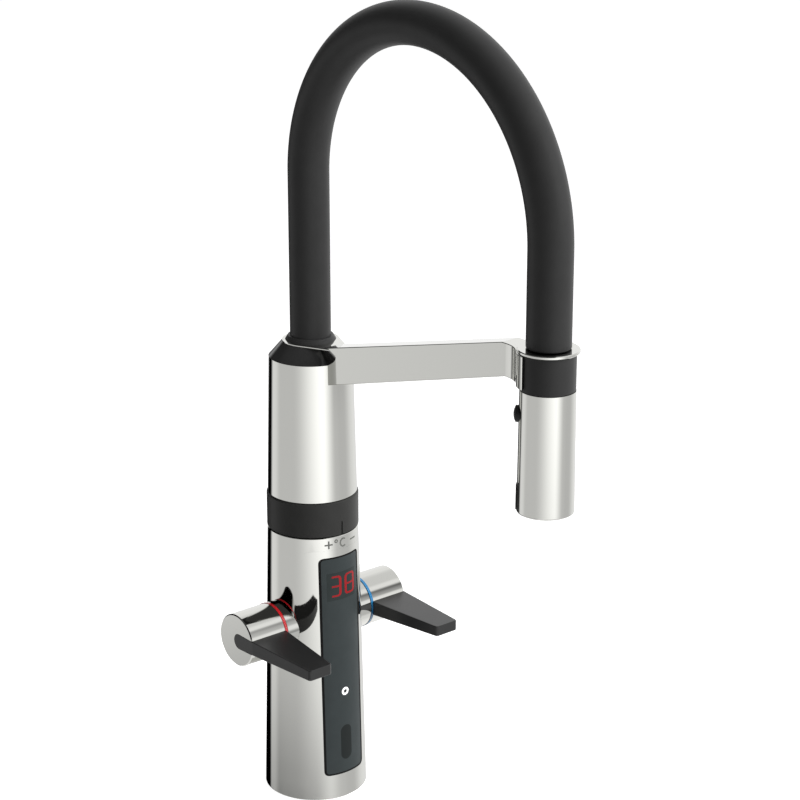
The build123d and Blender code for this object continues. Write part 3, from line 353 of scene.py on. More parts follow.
# Silicone rubber sleeve over the hose: dull black with a soft rim of light.
HOSE_RUBBER = Plastic("black_silicone_sleeve", "#323232", 0.5, 0.35, 0.008, 0.05, gloss=0.18)
# Woven and moulded inner hose: darker and duller still.
INNER_HOSE = Plastic("black_inner_hose", "#151515", 0.7, 0.8, 0.02, 0.05, gloss=0.3)
# Sealing rubber: dead matt black. The same black is laid in the joint round the front panel as painted
# shade.
SEAL_RUBBER_AND_JOINT_SHADE = Plastic("sealing_rubber_and_joint_shade", "#0e0e0e", 0.75, 0.5, 0.01, 0.05, gloss=0.2)
# Silicone jets, grip and button: soft grey-black, slightly waxy.
NUB_RUBBER = Plastic("soft_grey_silicone", "#4a4b4b", 0.55, 0.3, 0.004, 0.05, gloss=0.35)
GRIP_RUBBER = Plastic("dark_silicone_grip", "#2c2c2c", 0.6, 0.3, 0.006, 0.05, gloss=0.2)
BUTTON_RUBBER = Plastic("dark_silicone_button", "#262626", 0.5, 0.3, 0.004, 0.05, gloss=0.2)
# Smoked acrylic front: a blue-grey dark sheet with an even soft gloss.
PANEL_PLASTIC = Plastic("smoked_acrylic_panel", "#3b4142", 0.45, 8.0, 0.0, 0.03, gloss=0.14)
# Darker windows in the front: over the digits, and over the infrared eye of the hand sensor.
DISPLAY_WINDOW = Plastic("smoked_display_window", "#313737", 0.45, 8.0, 0.0, 0.02, gloss=0.14)
SENSOR_LENS = Plastic("infrared_window", "#222626", 0.4, 8.0, 0.0, 0.02, gloss=0.14)
INDICATOR_LENS = Plastic("clear_light_guide", "#1d2021", 0.25, 4.0, 0.0, 0.02, gloss=0.5)
DISPLAY_FACE = Plastic("display_face", "#1f2324", 0.35, 6.0, 0.0, 0.02, gloss=0.5)
# Inner mouldings, sliding bushes, board and metals: seen only when the tap is taken apart or turned over.
INNER_PLASTIC = Plastic("natural_black_acetal", "#2b2b2b", 0.5, 0.5, 0.004, 0.05, gloss=0.4)
BUSH_PLASTIC = Plastic("white_acetal_bush", "#d8d6cf", 0.45, 0.5, 0.004, 0.05)
BOARD = Plastic("green_circuit_board", "#1d5a38", 0.4, 1.2, 0.004, 0.05)
CERAMIC = Plastic("white_alumina_disc", "#e9e7e2", 0.2, 0.4, 0.0, 0.03, ior=1.76)
BRASS = Metal("machined_brass", "#c9a45c", 0.28, 0.35, 0.004, 0.08)
STEEL = Metal("stainless_steel", "#b4b4b2", 0.24, 0.25, 0.003, 0.08)
MAGNET = Metal("nickel_plated_magnet", "#a9a59c", 0.2, 1.0, 0.0, 0.05)
# Coloured rings of the handles: glossy enamel, one red and one blue.
HOT_RING = Plastic("red_enamel_ring", "#c41f26", 0.2, 3.0, 0.0, 0.03, tone_spread=0.04, coat=0.5)
COLD_RING = Plastic("blue_enamel_ring", "#0f76ad", 0.2, 3.0, 0.0, 0.03, tone_spread=0.04, coat=0.5)
# Lit digits behind the smoked front, the lit ring of the indicator and the grey filled engraving.
RED_SEGMENT = Lit("red_lit_segment", "#94181d", 0.4, 2.0, 0.0, 0.02, glow=0.12)
WHITE_RING = Lit("white_lit_ring", "#f2f4f4", 0.4, 2.0, 0.0, 0.02, glow=0.6)
GREY_ENGRAVING = Plastic("grey_filled_engraving", "#6f706c", 0.6, 0.5, 0.0, 0.05, gloss=0.3)


@dataclass(frozen=True)
class StudioCard:
    """A card or softbox of the studio, as polished metal mirrors it.

    Directions are in degrees: the bearing is measured round the tap from straight behind the camera, to
    the camera's right, and the height above the horizon. Each edge fades over a stretch.

    Args:
        left: bearings where the card starts to show and where it is full.
        right: bearings where it starts to fade and where it is gone.
        bottom: heights where it starts to show and where it is full.
        top: heights where it starts to fade and where it is gone.
        gain: what it adds to the light of the plain surroundings.
        behind: the bearings are counted from 0 to 360, for a card on the tap's far side.
    """

    left: tuple[float, float]
    right: tuple[float, float]
    bottom: tuple[float, float]
    top: tuple[float, float]
    gain: float
    behind: bool = False


# Bearings of a card that goes all the way round.
ROUND_LEFT, ROUND_RIGHT = (-400, -399), (399, 400)


@dataclass
class Studio:
    """White studio: an even light, a pale floor, and cards that only polished surfaces mirror.

    Args:
        plain_level: light of the surroundings on soft surfaces.
        mirrored_level: light of the surroundings in a mirror, where no card stands.
        rightwards: the camera's right, on the plan.
        backwards: from the tap to the camera, on the plan.
        lamp_target: height that the lamps look at, in metres.
        floor_level: light that the floor gives of itself.
        floor_paint: share of the lamps' light that it returns.
        cards: what a mirror sees.
    """

    plain_level: float = 0.3
    mirrored_level: float = 0.92
    rightwards: tuple[float, float, float] = (0.7623, -0.6474, 0.0)
    backwards: tuple[float, float, float] = (-0.6474, -0.7623, 0.0)
    lamp_distance: float = 1.4
    lamp_target: float = 0.2
    floor_size: float = 12.0
    floor_level: float = 0.77
    floor_paint: float = 0.8
    cards: tuple[StudioCard, ...] = (
        # The softbox behind the camera, to its right: the broad white band on every upright cylinder.
        StudioCard((-50, 40), (30, 68), (-31, -15), (-6, 8), 1.25),
        # The dim gap beside it and the white wall beyond the tap on the right.
        StudioCard((68, 82), (96, 108), (-60, -50), (-12, -6), -0.06),
        StudioCard((100, 128), (134, 168), (-60, -50), (30, 45), 0.27),
        # Grey wall on the left, mirrored by the arm's side.
        StudioCard((-135, -120), (-110, -88), (-60, -50), (-4, 10), 0.28),
        # Black flag behind on the left: the dark line down the left edge of each cylinder.
        StudioCard((186, 199), (225, 240), (-50, -40), (-2, 6), -0.95, True),
        # Ceiling.
        StudioCard(ROUND_LEFT, ROUND_RIGHT, (28, 40), (90, 91), 0.18),
        # Far wall, brighter with height, mirrored by the knobs' tops and by the arm's top.
        StudioCard((120, 150), (198, 222), (-34, 24), (28, 52), 0.42, True),
        # The dark room over and beside the camera: the dark wedge on the left knob and the crescents.
        StudioCard((-152, -136), (34, 60), (-8, 8), (80, 88), -1.0),
        # On the right, from below: a thin shade, a strip light, a dark gap and a second strip.
        StudioCard((55, 66), (110, 125), (-17, -13), (-9, -4), -0.35),
        StudioCard((55, 66), (105, 120), (-6, 2), (9, 17), 0.5),
        StudioCard((73, 88), (98, 112), (10, 17), (30, 38), -0.85),
        StudioCard((60, 72), (98, 112), (34, 40), (44, 52), 0.3),
        # The tap's own shade on the ground, and the white ground beyond it.
        StudioCard((-180, -160), (0, 45), (-40, -31), (-29, -21.5), -0.75),
        StudioCard(ROUND_LEFT, ROUND_RIGHT, (-91, -90), (-42, -34), 0.35),
    )

    def build(self) -> None:
        """Builds the surroundings, the lamps and the floor."""
        self.surroundings()
        self.lamps()
        self.floor()
        bpy.context.scene.view_settings.view_transform = "Standard"
        log.info("studio: %d cards, floor %.0f m", len(self.cards), self.floor_size)

    def surroundings(self) -> None:
        """Builds the world: white to the camera, plain to soft surfaces, full of cards to mirrors."""
        world = bpy.data.worlds.new("studio")
        world.use_nodes = True
        tree = world.node_tree
        tree.nodes.clear()
        way = add_node(tree, "ShaderNodeTexCoord").outputs["Generated"]
        parts = [
            add_node(
                tree, "ShaderNodeVectorMath", {"operation": "DOT_PRODUCT", 1: axis}, {0: way}
            ).outputs["Value"]
            for axis in (self.rightwards, self.backwards, (0.0, 0.0, 1.0))
        ]
        bearing = self.degrees(
            tree, add_node(tree, "ShaderNodeMath", {"operation": "ARCTAN2"}, {0: parts[0], 1: parts[1]})
        )
        height = self.degrees(
            tree, add_node(tree, "ShaderNodeMath", {"operation": "ARCSINE"}, {0: parts[2]})
        )
        full = add_node(
            tree, "ShaderNodeMath", {"operation": "FLOORED_MODULO", 1: FULL_TURN}, {0: bearing}
        ).outputs[0]
        level = add_node(tree, "ShaderNodeValue")
        level.outputs[0].default_value = self.mirrored_level
        level = level.outputs[0]
        for card in self.cards:
            level = self.add_card(tree, card, full if card.behind else bearing, height, level)
        level = add_node(tree, "ShaderNodeMath", {"operation": "MAXIMUM", 1: 0.0}, {0: level}).outputs[0]
        path = add_node(tree, "ShaderNodeLightPath").outputs
        mirrored = add_node(
            tree,
            "ShaderNodeMath",
            {"operation": "MAXIMUM"},
            {0: path["Is Glossy Ray"], 1: path["Is Transmission Ray"]},
        ).outputs[0]
        soft = add_node(
            tree,
            "ShaderNodeMix",
            {"data_type": "FLOAT", 2: self.plain_level},
            {0: mirrored, 3: level},
        ).outputs[0]
        seen = add_node(
            tree,
            "ShaderNodeMix",
            {"data_type": "FLOAT", 3: 1.0},
            {0: path["Is Camera Ray"], 2: soft},
        ).outputs[0]
        sky = add_node(tree, "ShaderNodeBackground", {"Color": (1, 1, 1, 1)}, {"Strength": seen})
        add_node(tree, "ShaderNodeOutputWorld", links={"Surface": sky.outputs[0]})
        bpy.context.scene.world = world

    def degrees(self, tree: bpy.types.NodeTree, angle: bpy.types.Node) -> bpy.types.NodeSocket:
        """Turns an angle into degrees.

        Args:
            tree: the world's nodes.
            angle: the node that gives the angle in radians.

        Returns:
            The angle in degrees.
        """
        return add_node(
            tree, "ShaderNodeMath", {"operation": "DEGREES"}, {0: angle.outputs[0]}
        ).outputs[0]

    def add_card(
        self,
        tree: bpy.types.NodeTree,
        card: StudioCard,
        bearing: bpy.types.NodeSocket,
        height: bpy.types.NodeSocket,
        level: bpy.types.NodeSocket,
    ) -> bpy.types.NodeSocket:
        """Adds a card's light to the level so far.

        Args:
            tree: the world's nodes.
            card: the card.
            bearing: the bearing looked at.
            height: the height looked at.
            level: the light without this card.

        Returns:
            The light with it: the level plus the gain times one smooth step for each of the four edges.
        """
        share: bpy.types.NodeSocket | None = None
        edges = (
            (bearing, card.left, 0.0, 1.0),
            (bearing, card.right, 1.0, 0.0),
            (height, card.bottom, 0.0, 1.0),
            (height, card.top, 1.0, 0.0),
        )
        for source, (start, end), first, last in edges:
            step = add_node(
                tree,
                "ShaderNodeMapRange",
                {
                    "interpolation_type": "SMOOTHSTEP",
                    "From Min": start,
                    "From Max": end,
                    "To Min": first,
                    "To Max": last,
                },
                {"Value": source},
            ).outputs["Result"]
            if share is not None:
                both = add_node(tree, "ShaderNodeMath", {"operation": "MULTIPLY"}, {0: share, 1: step})
                step = both.outputs[0]
            share = step
        return add_node(
            tree, "ShaderNodeMath", {"operation": "MULTIPLY_ADD", 1: card.gain}, {0: share, 2: level}
        ).outputs[0]

    def lamps(self) -> None:
        """Adds three soft lamps: a key on the right, a fill on the left and one overhead."""
        for name, way, power, size in (
            ("key_lamp", (0.46, -0.89, 0.47), 22.0, 0.9),
            ("fill_lamp", (-0.86, 0.5, 0.5), 1.0, 1.0),
            ("top_lamp", (0.1, 0.1, 1.0), 4.0, 1.2),
        ):
            data = bpy.data.lights.new(name, "AREA")
            data.energy, data.size = power, size
            lamp = bpy.data.objects.new(name, data)
            direction = Vector(way).normalized()
            lamp.location = Vector((0, 0, self.lamp_target)) + direction * self.lamp_distance
            lamp.rotation_euler = direction.to_track_quat("Z", "Y").to_euler()
            lamp.visible_glossy = False
            lamp.visible_camera = False
            bpy.context.scene.collection.objects.link(lamp)

    def floor(self) -> None:
        """Lays the pale floor, which takes the tap's shadow and isn't mirrored in the chrome."""
        half = self.floor_size / 2
        corners = np.array([[(-half, -half, 0), (half, -half, 0)], [(-half, half, 0), (half, half, 0)]])
        floor = grid_mesh("studio_floor", corners)
        paint = bpy.data.materials.new("white_studio_floor")
        paint.use_nodes = True
        tree = paint.node_tree
        tree.nodes.clear()
        matt = add_node(tree, "ShaderNodeBsdfDiffuse", {"Color": (*[self.floor_paint] * 3, 1.0)})
        glow = add_node(tree, "ShaderNodeEmission", {"Strength": self.floor_level})
        both = add_node(tree, "ShaderNodeAddShader", links={0: matt.outputs[0], 1: glow.outputs[0]})
        add_node(tree, "ShaderNodeOutputMaterial", links={"Surface": both.outputs[0]})
        floor.data.materials.append(paint)
        floor.visible_glossy = False
        floor.visible_diffuse = False


@dataclass
class ViewCamera:
    """The photograph's camera: above the tap's front left, looking down a little, with a long lens."""

    place: tuple[float, float, float] = (-0.7793, -0.9975, 0.6628)
    forward: tuple[float, float, float] = (0.6148, 0.7238, -0.3135)
    lens: float = 102.5
    sensor: float = 36.0

    def build(self) -> None:
        """Places the camera and makes it the scene's."""
        data = bpy.data.cameras.new("front_left_camera")
        data.lens, data.sensor_width = self.lens, self.sensor
        camera = bpy.data.objects.new("front_left_camera", data)
        back = -Vector(self.forward).normalized()
        right = Vector((0, 0, 1)).cross(back).normalized()
        turn = Matrix((right, back.cross(right), back)).transposed()
        camera.matrix_world = Matrix.Translation(self.place) @ turn.to_4x4()
        bpy.context.scene.collection.objects.link(camera)
        bpy.context.scene.camera = camera
        log.info("camera at %s", self.place)


@dataclass
class ColumnSkin:
    """The tapering outside of the column, which marks and digits are laid on."""

    foot_radius: float = 31.0
    taper: float = 0.0235

    def wrap(self, across: np.ndarray, height: np.ndarray, lift: np.ndarray | float) -> np.ndarray:
        """Lays flat points on the column's front.

        A point at x and z goes to the circle of its height: y is minus the root of the radius squared less
        x squared, and then it moves out from the axis by the lift.

        Args:
            across: x of each point in millimetres.
            height: z of each point in millimetres.
            lift: how far above the surface, in millimetres.

        Returns:
            The points in metres, with a last axis of 3.
        """
        radius = self.foot_radius - self.taper * height
        back = -np.sqrt(radius**2 - across**2)
        out = 1 + lift / radius
        return np.stack((across * out, back * out, height + 0 * across), axis=-1) * MM


@dataclass
class Stroke:
    """A line drawn on the column: a flat ribbon with a crowned top that follows a path in x and z."""

    path: np.ndarray
    width: float
    closed: bool = False
    proud: float = 0.05
    sunk: float = 0.05
    upright_width: float | None = None

    def build(self, name: str, skin: ColumnSkin) -> bpy.types.Object:
        """Sweeps the ribbon's section along the path and lays it on the column.

        The section has four corners: left and right of the path by half the width, sunk below the surface
        and proud of it. Where the path runs upright its width can differ.

        Args:
            name: the piece's name.
            skin: the surface to lie on.

        Returns:
            The ribbon.
        """
        path = self.path
        if self.closed:
            along = np.roll(path, -1, axis=0) - np.roll(path, 1, axis=0)
        else:
            along = np.gradient(path, axis=0)
        along /= np.linalg.norm(along, axis=1, keepdims=True)
        side = np.stack((-along[:, 1], along[:, 0]), axis=1)
        upright = self.upright_width or self.width
        half = (self.width + (upright - self.width) * np.abs(side[:, :1])) / 2
        left, right = path + side * half, path - side * half
        corners = ((left, -self.sunk), (left, self.proud), (right, self.proud), (right, -self.sunk))
        points = np.stack(
            [skin.wrap(spot[:, 0], spot[:, 1], lift) for spot, lift in corners], axis=1
        )
        return grid_mesh(name, points, self.closed, True, not self.closed)


def rounded_path(corners: list[tuple[float, float]], radius: float, closed: bool) -> np.ndarray:
    """Rounds the corners of a path and divides its runs.

    Each corner becomes an arc of the given radius: its points lie on a quadratic curve between the two
    tangent points with the corner as the middle control point. Then the path is divided evenly.

    Args:
        corners: (x, z) of each corner, in millimetres.
        radius: distance from a corner to where its arc starts.
        closed: the last corner joins the first.

    Returns:
        The path's points.
    """
    spots = np.array(corners, float)
    count = len(spots)
    line: list[np.ndarray] = []
    t = np.linspace(0, 1, CORNER_POINTS)[:, None]
    for i, spot in enumerate(spots):
        if not closed and i in (0, count - 1):
            line.append(spot[None])
            continue
        before, after = spots[i - 1], spots[(i + 1) % count]
        start = spot + (before - spot) * radius / np.linalg.norm(before - spot)
        end = spot + (after - spot) * radius / np.linalg.norm(after - spot)
        line.append((1 - t) ** 2 * start + 2 * t * (1 - t) * spot + t**2 * end)
    points = np.concatenate(line)
    if closed:
        points = np.concatenate((points, points[:1]))
    length = np.concatenate(([0], np.cumsum(np.linalg.norm(np.diff(points, axis=0), axis=1))))
    even = np.linspace(0, length[-1], max(int(length[-1] / PATH_STEP), 3))
    path = np.stack([np.interp(even, length, points[:, k]) for k in (0, 1)], axis=1)
    return path[:-1] if closed else path


def circle_path(across: float, height: float, radius: float, steps: int = 48) -> np.ndarray:
    """Returns a closed circle of points in x and z, in millimetres."""
    turn = np.linspace(0, 2 * np.pi, steps, endpoint=False)
    return np.stack((across + radius * np.cos(turn), height + radius * np.sin(turn)), axis=1)


def dressing(**finishes: Finish) -> dict[str, Finish]:
    """Returns a dataclass field that holds the finish of each CAD node."""
    return field(default_factory=lambda: dict(finishes))


@dataclass
class Detail:
    """A new piece with its finish and the record's slot that the finish comes from."""

    piece: bpy.types.Object
    finish: Finish
    slot: str


@dataclass
class SubAssembly:
    """Part of the tap that moves as one: its CAD nodes with their finishes, and detail pieces on it."""

    body: str
    finishes: dict[str, Finish] = field(default_factory=dict)

    def build(self) -> None:
        """Dresses the nodes and adds the detail pieces."""
        for name, finish in self.finishes.items():
            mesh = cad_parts[name].data
            mesh.materials.clear()
            mesh.materials.append(finish.material())
        details = self.details()
        for detail in details:
            detail.piece.data.materials.append(detail.finish.material())
            self.fix(detail.piece)
        log.info("%s: %d nodes dressed, %d new pieces", self.title(), len(self.finishes), len(details))

    def details(self) -> list[Detail]:
        """Builds the detail pieces; a plain sub-assembly has none."""
        return []

    def fix(self, piece: bpy.types.Object) -> None:
        """Fixes a detail piece to the body."""
        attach(piece, self.body)

    def title(self) -> str:
        """Returns the sub-assembly's name for the log."""
        return type(self).__name__


@dataclass
class ThreadedBore:
    """Screw thread on the wall of a round hole under the foot.

    Args:
        across: x of the hole's axis in millimetres.
        radius: radius of the hole.
        pitch: rise of the thread in a turn.
        length: how far up from the foot the thread runs.
    """

    across: float
    radius: float
    pitch: float
    length: float
    start: float = 0.8
    ridge_share: float = 0.54
    turn_steps: int = 48
    pitch_steps: int = 6

    def build(self, name: str) -> bpy.types.Object:
        """Makes the thread as a surface of the angle and the height.

        The radius is the hole's less a ridge: the ridge is a triangle wave of the height over the pitch
        less the share of a turn, it is the ridge's share of the pitch deep, and it fades out over the
        first and last pitch. A plain outer wall just inside the metal closes the surface.

        Args:
            name: the piece's name.

        Returns:
            The thread.
        """
        height = np.arange(self.start, self.length, self.pitch / self.pitch_steps)[:, None]
        turn = np.linspace(0, 2 * np.pi, self.turn_steps, endpoint=False)[None]
        phase = (height - self.start) / self.pitch - turn / (2 * np.pi)
        ridge = 2 * np.abs(phase - np.floor(phase + 0.5))
        ends = np.minimum(height - self.start, height[-1] - height) / self.pitch
        depth = self.ridge_share * self.pitch * ridge * np.clip(ends, 0, 1)
        inner, outer = (
            np.stack(
                np.broadcast_arrays(self.across + radius * np.cos(turn), radius * np.sin(turn), height),
                axis=-1,
            )
            for radius in (self.radius - depth, self.radius + WALL_BURIAL)
        )
        return grid_mesh(name, np.concatenate((inner, outer[::-1])) * MM, True, True)


@dataclass
class Column(SubAssembly):
    """Fixed column: chrome casing, brass core with the valves, and the signs engraved under the ring."""

    body: str = "column"
    skin: ColumnSkin = field(default_factory=ColumnSkin)
    sign_height: float = 164.0
    sign_width: float = 0.9
    plus_across: float = -8.6
    plus_reach: float = 2.4
    degree_across: float = -3.9
    degree_rise: float = 1.7
    degree_radius: float = 0.8
    degree_width: float = 0.72
    letter_across: float = 1.2
    letter_half_width: float = 2.2
    letter_half_height: float = 2.4
    letter_span: tuple[float, float] = (48.0, 312.0)
    letter_points: int = 40
    bar_ends: float = 0.5
    minus: tuple[float, float] = (7.1, 12.0)
    stud: ThreadedBore = field(default_factory=lambda: ThreadedBore(0.0, 4.25, 1.25, 19.0))
    inlets: tuple[ThreadedBore, ThreadedBore] = field(
        default_factory=lambda: (ThreadedBore(-10.5, 4.5, 1.0, 11.5), ThreadedBore(10.5, 4.5, 1.0, 11.5))
    )
    finishes: dict[str, Finish] = dressing(
        lower_body=CHROME,
        hot_hub=CHROME,
        cold_hub=CHROME,
        base_seal=SEAL_RUBBER_AND_JOINT_SHADE,
        core_body=BRASS,
        spout_spigot=BRASS,
        thermostat_bonnet=BRASS,
        hot_headwork=BRASS,
        cold_headwork=BRASS,
        thermostat_cartridge=INNER_PLASTIC,
        hot_fixed_disc=CERAMIC,
        cold_fixed_disc=CERAMIC,
        spigot_screws=STEEL,
        spigot_retaining_ring=STEEL,
    )

    def details(self) -> list[Detail]:
        """Builds the engraved signs and the threads of the stud hole and the inlets."""
        bores = [self.stud, *self.inlets]
        threads = join("foot_threads", [bore.build(f"thread_{i}") for i, bore in enumerate(bores)])
        return [Detail(self.signs(), GREY_ENGRAVING, "chrome"), Detail(threads, BRASS, "brass")]

    def signs(self) -> bpy.types.Object:
        """Draws plus, the degree sign, C and minus."""
        z, wide = self.sign_height, self.sign_width
        x, reach = self.plus_across, self.plus_reach
        bars = (
            [(x - reach, z), (x + reach, z)],
            [(x, z - reach), (x, z + reach)],
            [(self.minus[0], z), (self.minus[1], z)],
        )
        strokes = [Stroke(rounded_path(list(bar), self.bar_ends, False), wide) for bar in bars]
        degree = circle_path(self.degree_across, z + self.degree_rise, self.degree_radius)
        strokes.append(Stroke(degree, self.degree_width, True))
        turn = np.radians(np.linspace(*self.letter_span, self.letter_points))
        letter = np.stack(
            (
                self.letter_across + self.letter_half_width * np.cos(turn),
                z + self.letter_half_height * np.sin(turn),
            ),
            axis=1,
        )
        strokes.append(Stroke(letter, wide))
        return join(
            "engraved_signs", [s.build(f"sign_part_{i}", self.skin) for i, s in enumerate(strokes)]
        )


@dataclass
class FrontPanel(SubAssembly):
    """Smoked front with a near-black ribbon of painted shade in its joint, the window over the lit digits,
    the lit ring and the sensor's eye.
    """

    body: str = "column"
    skin: ColumnSkin = field(default_factory=ColumnSkin)
    half_width: float = 14.0
    bottom: float = 16.3
    top: float = 155.3
    corner: float = 3.0
    joint: float = 0.7
    # The near-black ribbon round the panel: painted shade in its joint, which also stands in for the
    # panel's edge wall.
    ribbon_width: float = 1.0
    ribbon_side_width: float = 1.35
    ribbon_proud: float = 0.06
    ribbon_depth: float = 1.4
    window_half_width: float = 10.4
    window_bottom: float = 128.6
    window_top: float = 146.0
    window_columns: int = 25
    window_rows: int = 9
    sheet_lift: float = 0.02
    digit_bottom: float = 130.8
    digit_top: float = 144.0
    three: tuple[float, float] = (-7.4, -0.9)
    eight: tuple[float, float] = (1.4, 9.8)
    bar: float = 1.15
    upright: float = 1.7
    digit_corner: float = 2.2
    facing_half_width: float = 22.0
    facing_bottom: float = 2.0
    facing_top: float = 160.5
    facing_rows: int = 25
    facing_stride: int = 3
    ring_height: float = 69.0
    ring_radius: float = 1.85
    ring_width: float = 1.4
    finishes: dict[str, Finish] = dressing(
        control_panel=PANEL_PLASTIC,
        sensor_window=SENSOR_LENS,
        indicator_lens=INDICATOR_LENS,
        display_module=DISPLAY_FACE,
        sensor_module=INNER_PLASTIC,
        control_board=BOARD,
    )

    def details(self) -> list[Detail]:
        """Builds the casing's facing, the near-black ribbon of painted shade round the panel, the digits on
        their window, and the lit ring.
        """
        return [
            Detail(self.facing(), CHROME, "chrome"),
            # Painted shade: the ribbon round the panel takes the sealing rubber's black.
            Detail(self.shade_ribbon(), SEAL_RUBBER_AND_JOINT_SHADE, "seal_rubber"),
            Detail(self.window(), DISPLAY_WINDOW, "sensor_lens"),
            Detail(self.digits(), RED_SEGMENT, "display"),
            Detail(self.ring(), WHITE_RING, "indicator_lens"),
        ]

    def facing(self) -> bpy.types.Object:
        """Lays a polished facing on the casing round the panel, so that its mirror runs on without a dent.

        The inner loop is the pocket's outline. The outer one is the same outline stretched in x and in z
        to the facing's reach, and the rows between them are spaced evenly. The facing stands a hair proud
        of the casing, and its back is sunk into it.

        Returns:
            The facing.
        """
        low, high = self.bottom - self.joint, self.top + self.joint
        side = self.half_width + self.joint
        corners = [(-side, low), (side, low), (side, high), (-side, high)]
        inner = rounded_path(corners, self.corner + self.joint, True)[:: self.facing_stride]
        stretch = (self.facing_top - self.facing_bottom) / (high - low)
        outer = np.stack(
            (
                inner[:, 0] * self.facing_half_width / side,
                self.facing_bottom + (inner[:, 1] - low) * stretch,
            ),
            axis=1,
        )
        share = np.linspace(0, 1, self.facing_rows)[:, None, None]
        spots = (1 - share) * inner + share * outer
        face = self.skin.wrap(spots[..., 0], spots[..., 1], self.sheet_lift)
        back = self.skin.wrap(spots[..., 0], spots[..., 1], -WALL_BURIAL)
        return grid_mesh("casing_facing", np.concatenate((face, back[::-1])), True, True)

    def shade_ribbon(self) -> bpy.types.Object:
        """Carries a near-black ribbon round the panel as painted shade: it fills the joint and laps over
        the panel's edge, standing in for the panel's edge wall and for the shade in the joint.
        """
        reach = self.joint - self.ribbon_width / 2
        low, high = self.bottom - reach, self.top + reach
        side = self.half_width + self.joint - self.ribbon_side_width / 2
        path = rounded_path([(-side, low), (side, low), (side, high), (-side, high)], self.corner, True)
        shade_ribbon = Stroke(
            path,
            self.ribbon_width,
            True,
            proud=self.ribbon_proud,
            sunk=self.ribbon_depth,
            upright_width=self.ribbon_side_width,
        )
        return shade_ribbon.build("panel_shade_ribbon", self.skin)

    def window(self) -> bpy.types.Object:
        """Lays the darker window on the panel: a sheet of x and z, bent to the column and given a wall."""
        across = np.linspace(-self.window_half_width, self.window_half_width, self.window_columns)[None]
        height = np.linspace(self.window_bottom, self.window_top, self.window_rows)[:, None]
        x, z = np.broadcast_arrays(across, height)
        face = self.skin.wrap(x, z, self.sheet_lift)
        back = self.skin.wrap(x, z, -WALL_BURIAL)
        return grid_mesh("display_window", np.concatenate((face, back[:, ::-1]), axis=1), False, True, True)

    def digits(self) -> bpy.types.Object:
        """Draws 3 and 8 in joined segments with rounded corners."""
        half_bar, half_up = self.bar / 2, self.upright / 2
        low, high = self.digit_bottom + half_bar, self.digit_top - half_bar
        middle = (low + high) / 2
        left, right = self.three[0], self.three[1] - half_up
        strokes = [
            self.line([(left, high), (right, high), (right, low), (left, low)], False),
            self.line([(left, middle), (right - half_up, middle)], False),
        ]
        left, right = self.eight[0] + half_up, self.eight[1] - half_up
        strokes += [
            self.line([(left, high), (right, high), (right, low), (left, low)], True),
            self.line([(left + half_up, middle), (right - half_up, middle)], False),
        ]
        return join(
            "lit_digits", [s.build(f"digit_part_{i}", self.skin) for i, s in enumerate(strokes)]
        )

    def line(self, corners: list[tuple[float, float]], closed: bool) -> Stroke:
        """Returns a digit's stroke along the corners."""
        path = rounded_path(corners, self.digit_corner, closed)
        return Stroke(path, self.bar, closed, upright_width=self.upright)

    def ring(self) -> bpy.types.Object:
        """Draws the lit ring of the indicator."""
        path = circle_path(0.0, self.ring_height, self.ring_radius)
        return Stroke(path, self.ring_width, True).build("lit_ring", self.skin)


@dataclass
class TemperatureControl(SubAssembly):
    """Black ring that turns the thermostat, with what it drives inside the column."""

    body: str = "temperature_control"
    finishes: dict[str, Finish] = dressing(
        temperature_ring=RING_COAT,
        ring_driver=INNER_PLASTIC,
        thermostat_spindle=BRASS,
    )


@dataclass
class SideHandle(SubAssembly):
    """Side handle: chrome knob, black lever and the coloured ring that tells hot from cold."""

    body: str = ""
    side: Side = Side.HOT
    level: float = 109.0
    band_start: float = 31.8
    band_width: float = 1.9
    band_bottom: float = 15.7
    band_top: float = 16.16
    band_edge: float = 0.12
    band_steps: int = 128

    @property
    def enamel(self) -> Finish:
        """Returns the side's enamel."""
        return HOT_RING if self.side is Side.HOT else COLD_RING

    def __post_init__(self) -> None:
        """Names the body and the finishes from the side."""
        name = self.side.value
        self.body = f"{name}_handle"
        self.finishes = {
            f"{name}_knob": CHROME,
            f"{name}_lever": LEVER_COAT,
            f"{name}_colour_ring": self.enamel,
            f"{name}_spindle": BRASS,
            f"{name}_moving_disc": CERAMIC,
            f"{name}_grub_screw": STEEL,
        }

    def details(self) -> list[Detail]:
        """Builds the enamelled band that lies over the colour ring and the knob's inner edge.

        Its section has two inner corners and four outer ones that take off the edges. Each corner at x and
        r becomes a circle about the knob's axis: y is r times the cosine of the angle, and z is the axis's
        level plus r times its sine.

        Returns:
            The band.
        """
        start, end = self.band_start, self.band_start + self.band_width
        low, high, edge = self.band_bottom, self.band_top, self.band_edge
        section = np.array(
            [
                (start, low),
                (start, high - edge),
                (start + edge, high),
                (end - edge, high),
                (end, high - edge),
                (end, low),
            ]
        )
        turn = np.linspace(0, 2 * np.pi, self.band_steps, endpoint=False)
        across, radius = section[:, :1], section[:, 1:]
        away = -1 if self.side is Side.HOT else 1
        points = np.stack(
            (away * across + 0 * turn, radius * np.cos(turn), self.level + radius * np.sin(turn)), axis=-1
        )
        name = self.side.value
        band = grid_mesh(f"{name}_enamel_band", points * MM, True, True)
        return [Detail(band, self.enamel, f"{name}_ring")]

    def title(self) -> str:
        """Returns the handle's name for the log."""
        return f"{self.side.value} handle"


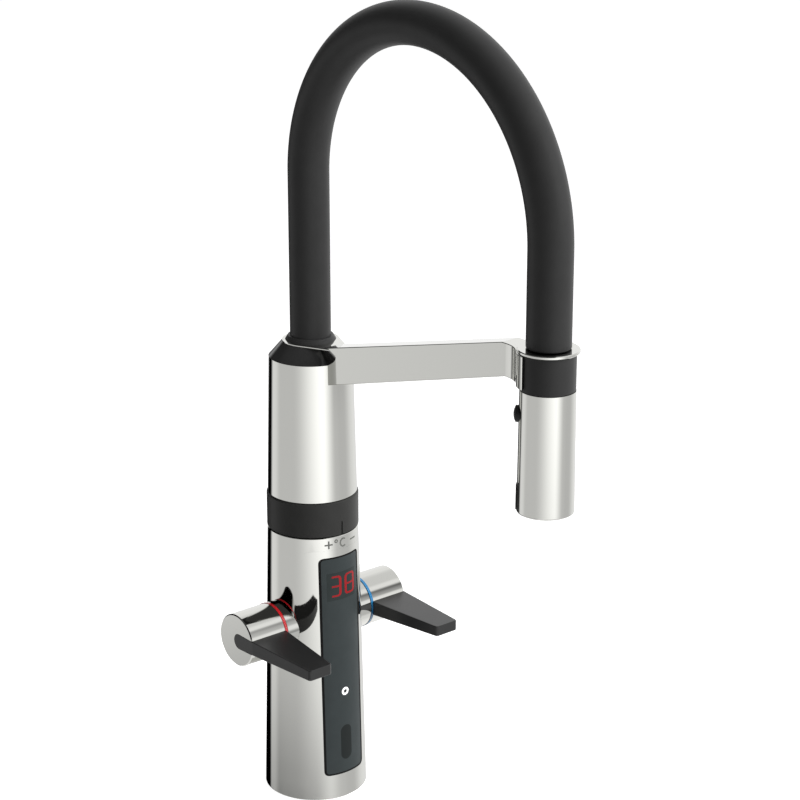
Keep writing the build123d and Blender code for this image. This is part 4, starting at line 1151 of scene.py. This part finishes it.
@dataclass
class Spout(SubAssembly):
    """Swivelling spout: chrome sleeve, support arm, black cone and the collar that the hose stands in."""

    body: str = "spout"
    finishes: dict[str, Finish] = dressing(
        spout_sleeve=CHROME,
        support_arm=CHROME,
        cone_shroud=GLOSS_BLACK,
        hose_collar=COLLAR_PLASTIC,
        lower_swivel_bush=BUSH_PLASTIC,
        upper_swivel_bush=BUSH_PLASTIC,
        hose_nipple=BRASS,
        nipple_o_rings=SEAL_RUBBER_AND_JOINT_SHADE,
        dock_magnet=MAGNET,
        hose_cover=HOSE_RUBBER,
        inner_hose=INNER_HOSE,
        hose_ferrule=BRASS,
    )


@dataclass
class HoseArch(SubAssembly):
    """The silicone-covered hose that rises from the column, arches over and comes down to the spray."""

    body: str = "spout"
    bottom: float = 283.0
    crown: float = 476.4
    rising_radius: float = 95.0
    falling_radius: float = 102.5
    end: float = 323.3
    radius: float = 11.9
    lip: float = 0.8
    lip_points: int = 6
    ring_points: int = 72
    straight_step: float = 2.0
    bend_points: int = 72
    bend_start: tuple[float, float, float] = (0.0, -0.02, 0.375)
    bend_end: tuple[float, float, float] = (0.0, -0.18, 0.375)

    def details(self) -> list[Detail]:
        """Sweeps the sleeve, which stands for the CAD hose."""
        centre, along = self.centre_line()
        sleeve = grid_mesh("hose_sleeve", self.section(centre, along) * MM, False, True, True)
        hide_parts("hose_cover", "inner_hose", "hose_ferrule")
        return [Detail(sleeve, HOSE_RUBBER, "hose_rubber")]

    def fix(self, piece: bpy.types.Object) -> None:
        """Bakes the hose's place into its mesh and leaves it on no body."""
        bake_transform(piece)

    def centre_line(self) -> tuple[np.ndarray, np.ndarray]:
        """Works out the hose's centre line: straight up, two quarter circles that meet at the crown, down.

        Both circles have their centres under the crown, one rising radius in front of the column: a point
        lies a radius times the cosine of the angle from there in y, and times its sine above in z.

        Returns:
            The points and the directions, in y and z, in millimetres.
        """
        reach = self.rising_radius + self.falling_radius
        rise_level, fall_level = self.crown - self.rising_radius, self.crown - self.falling_radius
        up = np.arange(self.bottom, rise_level, self.straight_step)
        down = np.append(np.arange(fall_level, self.end, -self.straight_step)[1:], self.end)
        turn = np.concatenate(
            (
                np.linspace(0, np.pi / 2, self.bend_points),
                np.linspace(np.pi / 2, np.pi, self.bend_points)[1:],
            )
        )
        rising = turn <= np.pi / 2
        radius = np.where(rising, self.rising_radius, self.falling_radius)
        level = np.where(rising, rise_level, fall_level)
        bend = np.stack((radius * np.cos(turn) - self.rising_radius, level + radius * np.sin(turn)), axis=1)
        points = np.concatenate(
            (np.stack((0 * up, up), axis=1), bend, np.stack((0 * down - reach, down), axis=1))
        )
        ways = np.concatenate(
            (
                np.tile((0.0, 1.0), (len(up), 1)),
                np.stack((-np.sin(turn), np.cos(turn)), axis=1),
                np.tile((0.0, -1.0), (len(down), 1)),
            )
        )
        return points, ways

    def section(self, centre: np.ndarray, along: np.ndarray) -> np.ndarray:
        """Carries the round section along the centre line, with a rounded lip at each end.

        A ring's points are the centre plus the radius times the cosine along x and the sine along the
        line's normal. Over the lip the radius shrinks as a quarter circle.

        Args:
            centre: the centre line in y and z.
            along: its directions.

        Returns:
            The grid of points in millimetres.
        """
        length = np.concatenate(([0], np.cumsum(np.linalg.norm(np.diff(centre, axis=0), axis=1))))
        lips = np.linspace(0, 1, self.lip_points) * self.lip
        stations = np.unique(np.concatenate((length[1:-1], lips, length[-1] - lips)))
        line = np.stack([np.interp(stations, length, centre[:, k]) for k in (0, 1)], axis=1)
        way = np.stack([np.interp(stations, length, along[:, k]) for k in (0, 1)], axis=1)
        way /= np.linalg.norm(way, axis=1, keepdims=True)
        side = np.stack((way[:, 1], -way[:, 0]), axis=1)
        gap = np.minimum(np.minimum(stations, length[-1] - stations), self.lip)
        radius = self.radius - self.lip + np.sqrt(np.maximum(self.lip**2 - (self.lip - gap) ** 2, 0))
        turn = np.linspace(0, 2 * np.pi, self.ring_points, endpoint=False)
        across = radius[:, None] * np.cos(turn)
        out = radius[:, None] * np.sin(turn)
        return np.stack(
            (across, line[:, :1] + side[:, :1] * out, line[:, 1:] + side[:, 1:] * out), axis=-1
        )


@dataclass
class SprayDock(SubAssembly):
    """Flange, collar and swivel stem that the spray hangs in the saddle by."""

    body: str = "spray_dock"
    finishes: dict[str, Finish] = dressing(
        spray_flange=CHROME,
        spray_collar=COLLAR_PLASTIC,
        swivel_stem=BRASS,
        dock_plate=STEEL,
    )


@dataclass
class SprayHead(SubAssembly):
    """Chrome spray body with its grip, the nozzle plate with its soft jets, and the aerator's screen."""

    body: str = "spray_head"
    axis_y: float = -197.5
    screen_level: float = 237.4
    screen_radius: float = 5.8
    wire_radius: float = 0.14
    wire_gap: float = 0.9
    wire_steps: int = 6
    finishes: dict[str, Finish] = dressing(
        spray_body=CHROME,
        grip_strip=GRIP_RUBBER,
        spray_core=INNER_PLASTIC,
        nozzle_plate=COLLAR_PLASTIC,
        nozzle_nubs=NUB_RUBBER,
        aerator=COLLAR_PLASTIC,
    )

    def details(self) -> list[Detail]:
        """Weaves the aerator's screen."""
        return [Detail(self.screen(), STEEL, "collar_plastic")]

    def screen(self) -> bpy.types.Object:
        """Lays straight wires both ways across the aerator's bore, one way over the other.

        A wire is a round rod whose half length is the root of the bore's radius squared less the square
        of its distance from the middle.

        Returns:
            The screen.
        """
        count = int(self.screen_radius / self.wire_gap)
        wires = []
        for offset in self.wire_gap * np.arange(-count, count + 1):
            half = np.sqrt(self.screen_radius**2 - offset**2)
            for crosswise in (False, True):
                wires.append(self.wire(offset, half, crosswise))
        return join("aerator_screen", wires)

    def wire(self, offset: float, half: float, crosswise: bool) -> bpy.types.Object:
        """Makes one wire of the screen.

        Args:
            offset: its distance from the middle in millimetres.
            half: half its length.
            crosswise: it runs along x rather than y, and one wire's thickness higher.

        Returns:
            The wire.
        """
        turn = np.linspace(0, 2 * np.pi, self.wire_steps, endpoint=False)[None]
        along = np.array([[-half], [half]])
        side = offset + self.wire_radius * np.cos(turn)
        level = self.screen_level + self.wire_radius * (np.sin(turn) + 2 * crosswise)
        run, side, level = np.broadcast_arrays(along, side, level)
        across, back = (run, side) if crosswise else (side, run)
        points = np.stack((across, back + self.axis_y, level), axis=-1) * MM
        return grid_mesh("wire", points, False, True, True)


@dataclass
class SprayTrigger(SubAssembly):
    """Push button that switches the jet, with its plunger."""

    body: str = "spray_trigger"
    finishes: dict[str, Finish] = dressing(spray_button=BUTTON_RUBBER, button_plunger=STEEL)


def main() -> None:
    """Builds the camera, the studio and the tap's sub-assemblies, in order."""
    logging.basicConfig(level=logging.INFO, format="%(name)s: %(message)s")
    ViewCamera().build()
    Studio().build()
    for part in (
        Column(),
        FrontPanel(),
        TemperatureControl(),
        SideHandle(side=Side.HOT),
        SideHandle(side=Side.COLD),
        Spout(),
        HoseArch(),
        SprayDock(),
        SprayHead(),
        SprayTrigger(),
    ):
        part.build()


if __name__ == "__main__":
    main()
